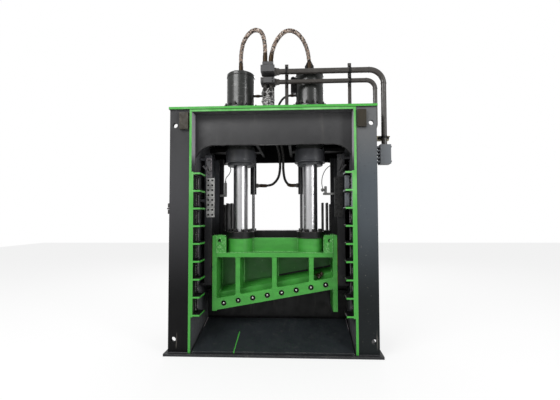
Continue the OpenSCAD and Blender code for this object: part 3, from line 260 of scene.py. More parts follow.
def right_half(finish):
    """1 on the machine's right side, 0 on its left."""
    return finish.ramp(finish.axis("X"), -0.05, 0.05)


def worn_paint(name, colour, specular=0.3, mottle=0.5, dust=0.35, dust_colour=DUST, scale=1.0, wear=0.45):
    """Mottling, dust in soft streaks and a brushed-on skin over a painted surface, with rubbed edges lightened
    both as wear and as a painted highlight.
    """
    finish = Finish(name, colour, specular=specular).rounded(wear)
    finish.stain(SHADE, 3.5 * scale, 0.35, 0.75, mottle, kind="MULTIPLY", stretch=(1, 1, 0.5))
    finish.stain(dust_colour, 14 * scale, 0.55, 0.82, dust, stretch=(1, 1, 0.16), detail=8)
    finish.roughen(9 * scale, 0.34, 0.62)
    return finish.bump(160, 0.15, 0.0006, detail=3)


def paint(name, colour, **settings):
    return worn_paint(name, colour, **settings).done()


def post_paint(name):
    """Pipe posts, with the rail on the column's side in beige."""
    rail_top, blur = 2.4, 0.02
    finish = worn_paint(name, PIPE_GREY, dust=0.3)
    return finish.tint(finish.ramp(finish.axis("Z"), rail_top + blur, rail_top - blur), BEIGE).done()


def front_painted(name, face_colour, pale_from=1.0, pale_to=2.2, behind=1.0, inner_x=None, **settings):
    """Dark plates with green front edges, paler from one height to another as painted light from above. Fronts
    further back than behind stay dark, and so do edges that face the middle, but for those left of it and nearer to
    it than inner_x; those right of the middle stay dark as painted shade."""
    finish = worn_paint(name, face_colour, **settings)
    front = finish.combine("LESS_THAN", finish.axis("Y", finish.facing), -0.5)
    front = finish.product(front, finish.combine("LESS_THAN", finish.axis("Y"), behind))
    if inner_x is not None:
        inner = finish.combine("GREATER_THAN", finish.axis("X", finish.facing), 0.5)
        # Edges facing the middle right of it are painted alike, but stay dark here as painted shade
        left = finish.combine("LESS_THAN", finish.axis("X"), 0)
        tip = finish.combine("GREATER_THAN", finish.axis("X"), -inner_x)
        front = finish.combine("MAXIMUM", front, finish.product(inner, left, tip))
    # Painted light: the green turns paler higher up, in patches, as if lit from above
    height = finish.ramp(finish.axis("Z"), pale_from, pale_to)
    patch = finish.patch(5, 0.3, 0.7, stretch=(1, 1, 0.35))
    green = finish.mix(finish.product(height, patch), GREEN, GREEN_PALE)
    green = finish.mix(finish.patch(30, 0.62, 0.8, 0, 0.5, detail=7), green, GREEN_DEEP)
    return finish.tint(front, green)


def web_paint(name):
    """Web plates: green front edges, and a pale strip on the inner faces beside the header, as painted light."""
    strip_foot, strip_full, strip_back = 1.92, 2.1, -0.4
    middle = (high("web_plates").x + high("front_header").x) / 2
    finish = front_painted(name, CHARCOAL, dust=0.3)
    sideways = finish.combine("GREATER_THAN", finish.combine("ABSOLUTE", finish.axis("X", finish.facing)), 0.5)
    inner = finish.combine("LESS_THAN", finish.combine("ABSOLUTE", finish.axis("X")), middle)
    height = finish.ramp(finish.axis("Z"), strip_foot, strip_full, 0, 0.85)
    near = finish.combine("LESS_THAN", finish.axis("Y"), strip_back)
    # Painted light: the inner faces beside the header are lightened where light falls on them
    return finish.tint(finish.product(sideways, inner, height, near), ink(180, 176, 184)).done()


def rib_paint(name):
    """Rib combs: green fronts and left rib tips over black bays, of which the two highest on the right are grey."""
    # The right rib tips stay black as painted shade
    finish = front_painted(name, SOOT, inner_x=0.77, wear=0.1)
    wall = finish.combine("LESS_THAN", finish.axis("X", finish.facing), -0.5)
    top_bays = finish.combine("GREATER_THAN", finish.axis("Z"), rib_height(BAYS - 2))
    patch = finish.patch(34, 0.34, 0.6, 0.35, 1.0, detail=6)
    return finish.tint(finish.product(wall, top_bays, right_half(finish), patch), ink(168, 176, 178)).done()


def header_paint(name):
    """Header plates, darker towards the arch as painted shade."""
    finish = front_painted(name, ink(66, 66, 67), behind=-0.45, mottle=0.35, dust=0.12)
    # Painted shade: the plates darken towards the arch below
    return finish.tint(finish.ramp(finish.axis("Z"), 2.5, 2.15, 0, 0.6), ink(26, 26, 27)).done()


def guide_paint(name):
    """Guide rails, dusty at the top left and darkened to black lower down and on the right."""
    finish = worn_paint(name, ink(60, 62, 66), dust=0.6, scale=2)
    finish.tint(finish.ramp(finish.axis("Z"), 1.5, 1.25, 0, 0.9), SOOT)
    return finish.tint(finish.product(right_half(finish), 0.7), SOOT).done()


def eye_paint(name):
    """Lifting-eye plates: pale and scuffed on the left, black on the right."""
    finish = worn_paint(name, ink(84, 84, 86), dust=0.7, scale=3)
    return finish.tint(finish.product(right_half(finish), 0.65), SOOT).done()


def chute_paint(name):
    """Chute floor with one long ragged scrape of green paint."""
    scrape_x, scrape_end, scrape_width = -0.388, -0.2, 0.011
    finish = worn_paint(name, SLATE, mottle=0.5, dust=0.08)
    offset = finish.combine("ABSOLUTE", finish.combine("SUBTRACT", finish.axis("X"), scrape_x))
    line = finish.combine("LESS_THAN", offset, finish.product(finish.noise(30, detail=4), scrape_width))
    near = finish.combine("LESS_THAN", finish.axis("Y"), scrape_end)
    return finish.tint(finish.product(line, near), GREEN).done()


def slot_paint_and_shade(name):
    """Strip in the carriage's slot: green where it is painted over on the left, black on the right as painted
    shade of the open slot.
    """
    finish = Finish(name, ink(44, 104, 42))
    # Painted shade: black on the right, where the slot lies open in shade
    finish.tint(finish.ramp(finish.axis("X"), -0.06, 0.02), SOOT)
    finish.stain(GREEN_DEEP, 26, 0.55, 0.72, 0.6, detail=6)
    return finish.bump(60, 0.6, 0.003, detail=5).done()


def column_paint(name):
    """Charcoal columns, nearly black at the foot as painted shade; the right one is bleached to a speckled
    blue grey.
    """
    finish = Finish(name, ink(60, 60, 62), specular=0.15).rounded()
    right = right_half(finish)
    height = finish.axis("Z")
    upper = finish.ramp(height, 1.7, 2.4)
    finish.tint(upper, ink(54, 54, 55))
    finish.tint(right, finish.mix(upper, ink(72, 78, 83), ink(93, 94, 95)))
    # Painted shade: darkening to nearly black towards the foot
    finish.tint(finish.ramp(height, 1.65, 0.5), finish.mix(right, ink(7, 7, 8), ink(23, 27, 28)))
    finish.stain(COLUMN_SHADE, 2.2, 0.35, 0.7, 0.35, kind="MULTIPLY", stretch=(1, 1, 0.45))
    speck = finish.patch(70, 0.64, 0.7, detail=2)
    finish.tint(finish.product(speck, right, 0.7), SLATE)
    chalk = finish.patch(52, 0.66, 0.74, 0, 0.5, detail=5)
    finish.tint(finish.product(chalk, right), DUST)
    scratch = finish.patch(26, 0.7, 0.76, stretch=(1, 1, 0.08), detail=3)
    finish.tint(finish.product(scratch, 0.2), DUST)
    finish.roughen(8, 0.42, 0.62)
    return finish.bump(150, 0.12, 0.0006, detail=3).done()


def glossy_black(name, colour=COAL, smooth=0.24, rough=0.36, specular=0.4, coat=0.12):
    """Gloss enamel with a film of dust, faint runs and thin scratches."""
    finish = Finish(name, colour, specular=specular, coat=coat)
    finish.stain(ink(96, 94, 90), 11, 0.5, 0.85, 0.3, stretch=(1, 1, 0.2), detail=8)
    finish.stain(ink(150, 150, 150), 34, 0.68, 0.72, 0.35, stretch=(0.2, 0.2, 2.4), detail=3)
    finish.roughen(12, smooth, rough)
    return finish.bump(60, 0.05, 0.001, stretch=(1, 1, 0.5)).done()


def plated(name, colour, smooth, rough, stain=RUST, share=0.12):
    """Bright metal with a faint grain and stains."""
    finish = Finish(name, colour, metallic=1.0)
    finish.stain(stain, 6, 0.45, 0.8, share, stretch=(1, 1, 0.3), detail=6)
    return finish.roughen(45, smooth, rough, stretch=(1, 1, 0.12), detail=4).done()


def bare_steel(name, colour=STEEL, dirt=0.6, smooth=0.32, rough=0.6, darker_right=0.0):
    """Machined steel, oily and dusty, with scuffs; a share for the right side blackens the machine's right side by
    that much.
    """
    finish = Finish(name, colour, metallic=0.85)
    finish.stain(STEEL_DARK, 28, 0.42, 0.72, dirt, detail=8)
    finish.stain(SOOT, 60, 0.6, 0.78, dirt, stretch=(1, 0.3, 1), detail=6)
    if darker_right:
        finish.tint(finish.product(right_half(finish), darker_right), SOOT)
    finish.roughen(50, smooth, rough, stretch=(1, 1, 0.2))
    return finish.bump(220, 0.2, 0.0004, stretch=(1, 1, 0.2)).done()


def carriage_paint(name, shade=GREEN, grime=0.5):
    """Hand-painted green over rough plates: brush marks, grime in hollows and pale rubbed patches."""
    finish = Finish(name, shade, coat=0.04)
    finish.stain(GREEN_DEEP, 9, 0.3, 0.7, 0.3, stretch=(0.4, 1, 1.6), detail=8)
    finish.stain(GREEN_PALE, 22, 0.6, 0.8, 0.35, detail=7)
    finish.stain(ink(30, 48, 30), 40, 0.62, 0.74, grime, detail=9)
    finish.roughen(14, 0.3, 0.55)
    return finish.bump(90, 0.25, 0.0012, detail=5).done()


def sleeve(name, light, dark, thread=ink(206, 196, 188)):
    """Woven hose sleeve: a spiral of light and dark patches over black."""
    finish = Finish(name, dark)
    finish.stain(light, 1.0, 0.46, 0.56, stretch=(4, 34, 1), roughness=0.75, source=finish.uv)
    finish.stain(thread, 1.0, 0.54, 0.62, stretch=(7, 62, 1), detail=4, source=finish.uv)
    finish.roughness = 0.75
    return finish.bump(1.0, 0.6, 0.002, stretch=(40, 700, 1), source=finish.uv).done()


def weld(name, light, dark):
    """Painted weld metal: ripples catch paint on top and dirt between."""
    finish = Finish(name, dark, coat=0.1)
    finish.stain(light, 70, 0.35, 0.6, detail=6)
    finish.roughen(40, 0.3, 0.6)
    return finish.bump(240, 0.5, 0.001, detail=4).done()


def grease(name):
    """Thick brown grease with a wet sheen."""
    finish = Finish(name, ink(38, 22, 16), specular=0.7, coat=0.5)
    finish.stain(ink(92, 52, 34), 60, 0.45, 0.7, 0.7, detail=5)
    finish.roughen(30, 0.2, 0.5)
    return finish.bump(120, 0.6, 0.002, detail=5).done()


def wrap_cloth(name):
    """Coarse glass-fibre wrap around hoses, black with pale threads."""
    finish = Finish(name, ink(30, 30, 32))
    finish.stain(ink(196, 194, 192), 85, 0.5, 0.56, detail=4, roughness=0.8)
    finish.stain(ink(22, 22, 24), 38, 0.56, 0.7, 0.8, detail=3)
    finish.roughen(50, 0.5, 0.85)
    return finish.bump(130, 0.8, 0.003, detail=4).done()


FINISHES = {
    "column": column_paint("column_paint"),
    "web": web_paint("web_paint"),
    "top": front_painted("top_paint", COAL, pale_from=3, pale_to=4).done(),
    "ribs": rib_paint("rib_paint"),
    "header": header_paint("header_paint"),
    "dark": paint("dark_paint", COAL, dust=0.25),
    "black": paint("black_paint", SOOT, dust=0.1, wear=0.2),
    "chute": chute_paint("chute_paint"),
    "base": paint("base_paint", ink(42, 43, 45), dust=0.35),
    "pad": paint("pad_paint", OLIVE, mottle=0.7, dust=0.25, dust_colour=RUST, scale=3),
    "guide": guide_paint("guide_paint"),
    "eye": eye_paint("eye_paint"),
    "gloss": glossy_black("gloss_black"),
    "barrel": glossy_black("barrel_black", ink(36, 38, 36)),
    "collar": glossy_black("collar_black", ink(62, 63, 66), 0.34, 0.46, specular=0.16, coat=0.0),
    "pipe": glossy_black("pipe_paint", PIPE_GREY, 0.25, 0.45),
    "block": paint("block_paint", ink(100, 104, 108), mottle=0.3, dust=0.2),
    "valve": paint("valve_paint", ink(74, 74, 75), mottle=0.4, dust=0.2),
    "deep": paint("deep_paint", SOOT, specular=0.04, mottle=0.5, dust=0.0, wear=0.0),
    "post": post_paint("post_paint"),
    "green": carriage_paint("carriage_green"),
    # Darker, grimier copy of the carriage green for the back plate deep in the pockets: painted shade
    "inside": carriage_paint("shaded_inside_green", ink(46, 106, 42), grime=0.7),
    "slot": slot_paint_and_shade("slot_paint_and_shade"),
    "chrome": plated("hard_chrome", CHROME, 0.27, 0.3),
    "steel": bare_steel("bare_steel"),
    "gib": bare_steel("gib_steel", darker_right=0.92),
    "blade": bare_steel("blade_steel", ink(150, 150, 150), dirt=0.8),
    "screw": paint("screw_black", SOOT, mottle=0.3, dust=0.3, scale=3),
    "bright": bare_steel("bright_bolts", ink(186, 190, 182), dirt=0.25, smooth=0.2, rough=0.4),
    "bronze": plated("guide_bronze", ink(84, 68, 42), 0.35, 0.5, stain=SOOT, share=0.8),
    "sleeve": sleeve("hose_sleeve", ink(142, 122, 108), ink(20, 18, 18)),
    "rubber": sleeve("hose_rubber", ink(40, 39, 38), ink(12, 12, 13), thread=ink(84, 82, 80)),
    "weld_green": weld("weld_green", ink(112, 182, 104), ink(60, 130, 58)),
    "weld_dark": weld("weld_dark", ink(60, 60, 62), ink(30, 30, 32)),
    "weld_light": weld("weld_light", ink(150, 142, 146), ink(70, 68, 72)),
    "grease": grease("grease"),
    "ferrule": plated("ferrule_steel", ink(62, 52, 42), 0.4, 0.6, stain=ink(40, 26, 16), share=0.8),
    "wrap": wrap_cloth("wrap_cloth"),
    "rod_black": plated("oiled_rod", ink(120, 120, 122), 0.15, 0.3, stain=SOOT, share=0.5),
}

FINISH_NODES = {
    "base": "base_plate",
    "web": "web_plates",
    "column": "front_flanges rear_flanges",
    "dark": "column_stiffeners seat_flanges hold_down_guides",
    "pad": "pad_plates",
    "top": "top_plate",
    "header": "front_header",
    "deep": "rear_header header_ribs",
    "ribs": "rib_combs",
    "guide": "guides",
    "gib": "gib_covers",
    "screw": "gib_cover_screws lower_blade_bolts seat_bolt_ring upper_blade_bolts rod_flange_bolts pipe_clamps",
    "eye": "eye_plates",
    "black": "bed_frame rod_flanges hold_down_beam hold_down_ears hold_down_legs hold_down_crossbar side_valve",
    "steel": "bed_table",
    "blade": "lower_blades upper_blades",
    "chute": "discharge_chute",
    "barrel": "main_barrels barrel_caps",
    "collar": "gland_collars",
    "green": "knife_front_plate knife_blade_bar knife_side_plates knife_uprights knife_deck corner_blocks rod_bosses",
    "inside": "knife_back_plate",
    "bronze": "guide_shoes",
    "chrome": "main_rods",
    "rod_black": "hold_down_rods",
    "gloss": "hold_down_cylinders",
    "valve": "valve_blocks",
    "pipe": "pressure_pipe return_pipe hose_fittings",
    "post": "pipe_posts",
    "block": "port_block",
}


def dress(node, finish):
    mesh = nodes[node].data
    mesh.materials.clear()
    mesh.materials.append(FINISHES[finish])


# Hoses in millimetres: the routes, across, in depth and in height, follow those of the part's source; the two
# loops over the top bow further forward, as they hang in the photograph
HOSE_D = 38
DROP_HOSE_D = 32
DRAIN_HOSE_D = 25
FERRULE_REACH = {HOSE_D: 95, DROP_HOSE_D: 84, DRAIN_HOSE_D: 34}
ROUTES = {
    "left_cylinder_hose": (HOSE_D, "sleeve", [
        (-400, 446, 3096), (-400, 446, 3150), (-398, 432, 3225), (-387, 402, 3310), (-352, 350, 3400),
        (-288, 296, 3460), (-216, 258, 3482), (-150, 240, 3458), (-113, 234, 3392), (-98, 238, 3305),
        (-94, 243, 3220), (-95, 245, 3150), (-95, 245, 3108)]),
    "right_cylinder_hose": (HOSE_D, "sleeve", [
        (400, 446, 3096), (400, 446, 3150), (393, 432, 3240), (372, 405, 3330), (328, 365, 3412),
        (268, 324, 3465), (200, 290, 3482), (132, 264, 3462), (70, 250, 3405), (18, 244, 3320),
        (-14, 244, 3230), (-29, 245, 3150), (-29, 245, 3108)]),
    "left_hold_down_hose": (DROP_HOSE_D, "rubber", [
        (-95, 245, 2808), (-95, 245, 2700), (-94, 250, 2560), (-86, 285, 2440), (-60, 380, 2360),
        (-20, 490, 2310), (20, 590, 2230), (38, 660, 2120), (40, 712, 2000), (14, 752, 1885),
        (-52, 774, 1808), (-132, 780, 1788), (-216, 780, 1788)]),
    "right_hold_down_hose": (DROP_HOSE_D, "rubber", [
        (-29, 245, 2808), (-29, 245, 2700), (-28, 250, 2560), (-16, 285, 2440), (10, 380, 2352),
        (46, 490, 2296), (74, 590, 2215), (82, 660, 2100), (80, 712, 1980), (96, 750, 1866),
        (136, 774, 1802), (178, 780, 1788), (216, 780, 1788)]),
    "left_drain_hose": (DRAIN_HOSE_D, "rubber", [
        (-215, 446, 2804), (-180, 446, 2804), (-142, 445, 2803), (-106, 438, 2793), (-74, 427, 2768),
        (-48, 414, 2731), (-28, 402, 2684), (-13, 390, 2636), (-8, 386, 2598), (-8, 386, 2561)]),
    "right_drain_hose": (DRAIN_HOSE_D, "rubber", [
        (215, 446, 2804), (180, 446, 2804), (145, 442, 2797), (112, 432, 2778), (82, 420, 2746),
        (58, 408, 2704), (40, 397, 2655), (30, 389, 2621), (27, 386, 2592), (27, 386, 2561)]),
}


def smooth_path(route, steps=18):
    """Points in metres along a curve that runs through all places of a route in millimetres."""
    points = [at(*place) for place in route]
    ends = [points[0] * 2 - points[1], *points, points[-1] * 2 - points[-2]]
    path = []
    for i in range(1, len(ends) - 2):
        a, b, c, d = ends[i - 1 : i + 3]
        for k in range(steps):
            t = k / steps
            path.append(0.5 * (2 * b + (c - a) * t + (2 * a - 5 * b + 4 * c - d) * t * t
                + (3 * b - a - 3 * c + d) * t ** 3))
    return [*path, points[-1]]


def spoke(angle):
    """Level vector of length 1 at an angle from the right."""
    return Vector((math.cos(angle), math.sin(angle), 0))


def ring_points(place, radius, steps=48):
    return [place + spoke(math.tau * k / steps) * radius for k in range(steps + 1)]


def into_scene(name, data):
    made = bpy.data.objects.new(name, data)
    bpy.context.scene.collection.objects.link(made)
    return made


class Form:
    """One piece's mesh while it is being made from tubes, plates, bolts and beads."""

    def __init__(self):
        self.mesh = bmesh.new()
        self.uv = self.mesh.loops.layers.uv.new("UVMap")

    def tube(self, path, radius, sides=12):
        """Tube along a path; radius is a number, or a function of the length run and the turn."""
        size = radius if callable(radius) else lambda run, turn: radius
        turns = [math.tau * k / sides for k in range(sides)]
        run, side, rings, runs = 0.0, None, [], []
        for i, point in enumerate(path):
            ahead = (path[min(i + 1, len(path) - 1)] - path[max(i - 1, 0)]).normalized()
            side = side or ahead.orthogonal().normalized()
            side = (side - ahead * side.dot(ahead)).normalized()
            up = ahead.cross(side)
            run += (point - path[i - 1]).length if i else 0.0
            rings.append([self.mesh.verts.new(point + (side * math.cos(t) + up * math.sin(t)) * size(run, t))
                for t in turns])
            runs.append(run)
        for i, (ring, following) in enumerate(zip(rings, rings[1:])):
            for k in range(sides):
                after = (k + 1) % sides
                face = self.mesh.faces.new((ring[k], ring[after], following[after], following[k]))
                face.smooth = True
                for loop, (u, v) in zip(face.loops, ((k, i), (k + 1, i), (k + 1, i + 1), (k, i + 1))):
                    loop[self.uv].uv = (u / sides, runs[v])
        self.mesh.faces.new(list(reversed(rings[0])))
        self.mesh.faces.new(rings[-1])
        return self

    def bead(self, path, width, ripple=7):
        """Weld bead: a low tube whose lower half lies in the joint, with ripples some millimetres apart."""
        step = ripple * MM / 3
        points = []
        for a, b in zip(path, path[1:]):
            count = max(2, round((b - a).length / step))
            points += [a.lerp(b, k / count) for k in range(count)]
        points.append(path[-1])

        def size(run, turn):
            wave = abs(math.sin(math.pi * run / (ripple * MM)))
            drift = noise.noise(Vector((run * 9, path[0].x * 5, path[0].z * 5)))
            return width / 2 * (0.8 + 0.2 * wave + 0.22 * drift)

        return self.tube(points, size, sides=6)

    def upright(self, x, y, bottom, top, width, ripple=7):
        """Bead that runs up."""
        return self.bead([Vector((x, y, bottom)), Vector((x, y, top))], width, ripple)

    def across(self, start, end, y, z, width, ripple=7):
        """Bead that runs from side to side."""
        return self.bead([Vector((start, y, z)), Vector((end, y, z))], width, ripple)

    def inward(self, x, front, back, z, width, ripple=7):
        """Bead that runs from front to back."""
        return self.bead([Vector((x, front, z)), Vector((x, back, z))], width, ripple)

    def turned(self, place, axis, profile, sides=32):
        """Round piece about an axis from (radius, rise) pairs in millimetres; a profile that ends where it
        began makes an open ring."""
        turn = axis.to_track_quat("Z", "Y").to_matrix()
        closed = profile[0] == profile[-1]
        rings = []
        for radius, rise in profile[:-1] if closed else profile:
            spots = [(spoke(math.tau * k / sides) * radius + UP * rise) * MM for k in range(sides)]
            rings.append([self.mesh.verts.new(place + turn @ spot) for spot in spots])
        if closed:
            rings.append(rings[0])
        for ring, following in zip(rings, rings[1:]):
            for k in range(sides):
                after = (k + 1) % sides
                self.mesh.faces.new((ring[k], ring[after], following[after], following[k]))
        if not closed:
            self.mesh.faces.new(list(reversed(rings[0])))
            self.mesh.faces.new(rings[-1])
        return self

    def bolt(self, place, axis, d, h):
        """Six-sided head with a chamfered top, on a round washer."""
        washer = d * 0.1
        self.turned(place, axis, ((d * 0.62, 0), (d * 0.62, washer)), 24)
        return self.turned(place + axis * washer * MM, axis, ((d / 2, 0), (d / 2, h - washer), (d * 0.42, h)), 6)

    def socket_screw(self, place, axis, d):
        """Round head with a sunk socket."""
        return self.turned(place, axis, ((d / 2, 0), (d / 2, d * 0.5), (d * 0.46, d * 0.55), (d * 0.27, d * 0.55),
            (d * 0.25, d * 0.2), (d * 0.02, d * 0.2)), 16)

    def plate(self, outline, thick, chamfer=1.5):
        """Flat plate from the corners of one face, thickened along a vector, with broken edges."""
        lower = [self.mesh.verts.new(p) for p in outline]
        upper = [self.mesh.verts.new(p + thick) for p in outline]
        faces = [self.mesh.faces.new(lower), self.mesh.faces.new(list(reversed(upper)))]
        for k in range(len(outline)):
            after = (k + 1) % len(outline)
            faces.append(self.mesh.faces.new((lower[after], lower[k], upper[k], upper[after])))
        edges = list(dict.fromkeys(e for f in faces for e in f.edges))
        bmesh.ops.recalc_face_normals(self.mesh, faces=faces)
        bmesh.ops.bevel(self.mesh, geom=edges, offset=chamfer * MM, segments=1, affect="EDGES")
        return self

    def block(self, corner, opposite, chamfer=1.5):
        x, y, z = opposite - corner
        right, up = RIGHT * x, UP * z
        return self.plate([corner, corner + right, corner + right + up, corner + up], -FRONT * y, chamfer)

    def lump(self, place, size, seed):
        """Uneven flat lump, such as spilt grease."""
        made = bmesh.ops.create_icosphere(self.mesh, subdivisions=3, radius=1)
        for v in made["verts"]:
            swell = 1 + 0.35 * noise.noise(v.co * 2.1 + Vector((seed, 0, 0)))
            v.co = place + Vector((v.co.x * size.x, v.co.y * size.y, v.co.z * size.z)) * swell
        return self

    def settle(self, name, finish, body, slot=None):
        """Puts the piece into the scene, on the body that carries it."""
        mesh = bpy.data.meshes.new(name)
        bmesh.ops.recalc_face_normals(self.mesh, faces=self.mesh.faces)
        self.mesh.to_mesh(mesh)
        self.mesh.free()
        mesh.materials.append(FINISHES[finish])
        piece = into_scene(name, mesh)
        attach(piece, body)
        return piece


def make_hose(name, diameter, finish, route):
    """Sleeved hose along its route; the woven sleeve of the large ones is thicker than the hose."""
    path = smooth_path(route)
    half = diameter / 2 * MM
    pitch = diameter * 0.55 * MM
    bulk = 1.2 if finish == "sleeve" else 0.965

    def radius(run, turn):
        ruffle = noise.noise(Vector((math.cos(turn) * 1.5, math.sin(turn) * 1.5, run * 40))) * (bulk - 0.9) * 0.5
        return half * (bulk + ruffle + 0.035 * math.sin(math.tau * run / pitch + turn))

    piece = Form().tube(path, radius, 16).settle(name + "_sleeve", finish, "frame", "hose_sleeve")
    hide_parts(name)


def carriage_welds():
    """Beads around rod bosses and corner blocks, and along the tie plate, the deck, the uprights and the ledge."""
    welds = Form()
    deck, end = high("knife_deck").z, high("knife_deck").x
    boss_top = high("rod_bosses").z
    boss_r = (high("rod_bosses").y - low("rod_bosses").y) / 2
    tie_front = cylinder(0, 0).y - 0.016
    tie_end = CYLINDER_X * MM - boss_r
    face, block_top = low("corner_blocks").y, high("corner_blocks").z
    block_in = end - 0.095
    for side in SIDES:
        welds.bead(ring_points(cylinder(side, deck + 0.002), boss_r + 0.002), 0.012)
        welds.upright(side * (CYLINDER_X * MM - boss_r * 0.994), tie_front, deck, boss_top, 0.011)
        welds.upright(side * block_in, face, deck, block_top - 0.02, 0.013, 9)
        welds.across(side * block_in, side * end, face, deck + 0.003, 0.014, 10)
        welds.upright(side * end, face, deck, block_top, 0.012, 9)
    welds.across(-tie_end, tie_end, tie_front, deck + 0.002, 0.013)
    welds.across(-end, end, face, deck + 0.001, 0.008)

    back, under_deck = low("knife_back_plate").y, deck - 0.05
    upright_half = 0.0245
    upright_x = high("knife_uprights").x - upright_half
    for x in (-upright_x, 0, upright_x):
        for side in SIDES:
            welds.upright(x + side * upright_half, back, edge_height(x) + LEDGE_RISE, under_deck, 0.014, 10)
    for side in SIDES:
        x = side * end
        foot = edge_height(x) + LEDGE_RISE
        welds.upright(x, back, foot, under_deck, 0.014, 10)
        welds.bead([Vector((x, back, foot + 0.002)), Vector((x, back - 0.16, foot - 0.032))], 0.018, 12)
    welds.settle("carriage_welds", "weld_green", "carriage")


def weld_crust():
    """Crust of weld metal on the fronts and tops of the corner blocks."""
    crust = Form()
    deck, face, top = high("knife_deck").z, low("corner_blocks").y, high("corner_blocks").z
    random.seed(7)
    for side in SIDES:
        for k in range(16):
            x = side * random.uniform(0.55, 0.628)
            place = Vector((x, face, random.uniform(deck + 0.012, top - 0.02)))
            crust.lump(place, Vector((random.uniform(0.006, 0.017), 0.004, random.uniform(0.005, 0.014))), k)
        for k in range(12):
            x = side * random.uniform(0.548, 0.67)
            place = Vector((x, face + random.uniform(0.004, 0.05), top))
            crust.lump(place, Vector((random.uniform(0.006, 0.013), 0.008, 0.004)), k + 40)
    crust.settle("corner_block_weld_crust", "weld_green", "carriage")


def blade_bolt_places(y):
    """Places on the axes of the eight blade bolts."""
    for side in SIDES:
        for place in (-1.5, -0.5, 0.5, 1.5):
            x = side * BLADE_MIDDLE + place * BOLT_PITCH
            yield Vector((x, y, edge_height(x) + BOLT_RISE))


def blade_bolt_details():
    """Black sleeves in the counterbores, dark paint and painted shade of the holes, and caps on the bolts' heads."""
    sleeves, caps = Form(), Form()
    # The black lining of each counterbore is part paint, part painted shade
    for place in blade_bolt_places(low("knife_blade_bar").y):
        sleeves.turned(place, FRONT, ((29.5, 0), (29.5, 41), (27, 43.5), (24.5, 41), (23.4, 6), (23.4, 0), (29.5, 0)))
    sleeves.settle("blade_bolt_shade_sleeves", "screw", "carriage")
    for place in blade_bolt_places(low("upper_blade_bolts").y + 0.001):
        caps.turned(place, FRONT, ((10.5, 0), (10.5, 4), (9.5, 6), (6.5, 8), (2.5, 8.5)), 24)
    caps.settle("blade_bolt_caps", "bright", "carriage")


def slot_strip():
    """Strip that fills the slot above the blade bar."""
    end, y = 0.632, low("knife_back_plate").y + 0.012
    foot, head = LEDGE_RISE - 0.002, LEDGE_RISE + 0.024
    corners = ((-end, foot), (end, foot), (end, head), (-end, head))
    outline = [Vector((x, y, edge_height(x) + rise)) for x, rise in corners]
    Form().plate(outline, Vector((0, 0.03, 0)), 1).settle("slot_strip", "slot", "carriage")


def grease_patch():
    """Grease that has gathered in the right end of the window, as lumps from a place across, a rise and a width."""
    patch = Form()
    ledge_y = at(0, 385, 0).y
    lumps = ((0.474, 0.178, 0.028), (0.5, 0.171, 0.034), (0.521, 0.182, 0.022), (0.487, 0.158, 0.024))
    for k, (x, rise, width) in enumerate(lumps):
        place = Vector((x, ledge_y + (rise - 0.17) * 2, edge_height(x) + rise - 0.012))
        patch.lump(place, Vector((width, 0.03, 0.016)), k)
    patch.settle("grease_patch", "grease", "carriage")


def rod_flange_rims():
    """A bead at the foot of each rod flange, and a raised rim at its lower and upper edge."""
    rims = Form()
    foot = low("rod_flanges").z
    rim = ((154, 0), (156.5, 1.5), (156.5, 4), (154, 5.5), (154, 0))
    for side in SIDES:
        rims.bead(ring_points(cylinder(side, foot + 0.001), 0.147), 0.008)
        for rise in (0.004, 0.066):
            rims.turned(cylinder(side, foot + rise), UP, rim, 64)
    rims.settle("rod_flange_rims", "screw", "carriage")


def frame_welds():
    """Beads along the columns, the header, the pads and the base plate."""
    welds = Form()
    column_in, column_out, inside = high("web_plates").x, high("front_flanges").x, high("front_header").x
    base, under_top = high("base_plate").z, low("top_plate").z
    face = low("front_flanges").y
    header, arch_foot = high("front_header").y - 0.04, 1.95
    pad_out, pad_low, pad_high = high("pad_plates").x, low("pad_plates").z, high("pad_plates").z
    pad_in = pad_out - 0.09
    pad_rim = ((pad_in, pad_low), (pad_out, pad_low), (pad_out, pad_high), (pad_in, pad_high), (pad_in, pad_low))
    for side in SIDES:
        for y in (face, high("rear_flanges").y):
            welds.upright(side * column_in, y, base, under_top, 0.011, 12)
        for z in (base, under_top):
            welds.across(side * column_in, side * column_out, face, z, 0.012, 12)
        welds.inward(side * inside, low("web_plates").y + 0.02, high("web_plates").y - 0.02, base, 0.014, 12)
        welds.upright(side * inside, header, arch_foot, under_top - 0.03, 0.013, 12)
        welds.bead([Vector((side * x, face, z)) for x, z in pad_rim], 0.012, 10)
    welds.across(-inside, inside, header, under_top - 0.027, 0.013, 12)
    welds.settle("frame_welds", "weld_dark", "frame")


def rib_stitches():
    """Stitch welds inside the bays, beads along the ribs, and one beside the right gib cover."""
    stitches = Form()
    front = low("rib_combs").y
    wall, tip = high("rib_combs").x - 0.021, high("rib_combs").x - 0.089
    for side, count, depth in ((-1, 7, 0.1), (1, 3, 0.055)):
        for i in range(BAYS):
            centre = rib_height(i + 0.5)
            for k in range(count):
                place = Vector((side * wall, front + depth, centre + (k - count // 2) * 0.019))
                stitches.lump(place, Vector((0.004, 0.004, 0.006)), k + i)
            stitches.upright(side * wall, front + 0.17, centre - 0.06, centre + 0.06, 0.009)
        for i in range(BAYS + 1):
            under = rib_height(i) - RIB_HALF
            stitches.inward(side * wall, front + 0.004, front + 0.18, under, 0.009)
            # On the right, thin pale weld-shaped beads on top of the rib tips stand in for the highlights at the rib
            # ends: painted highlight
            if side > 0:
                stitches.inward(tip, front + 0.02, front + 0.1, under + 2 * RIB_HALF, 0.006)
    stitches.upright(high("gib_covers").x + 0.002, low("guides").y, 1.42, 2.02, 0.006)
    stitches.settle("rib_stitches", "weld_light", "frame")


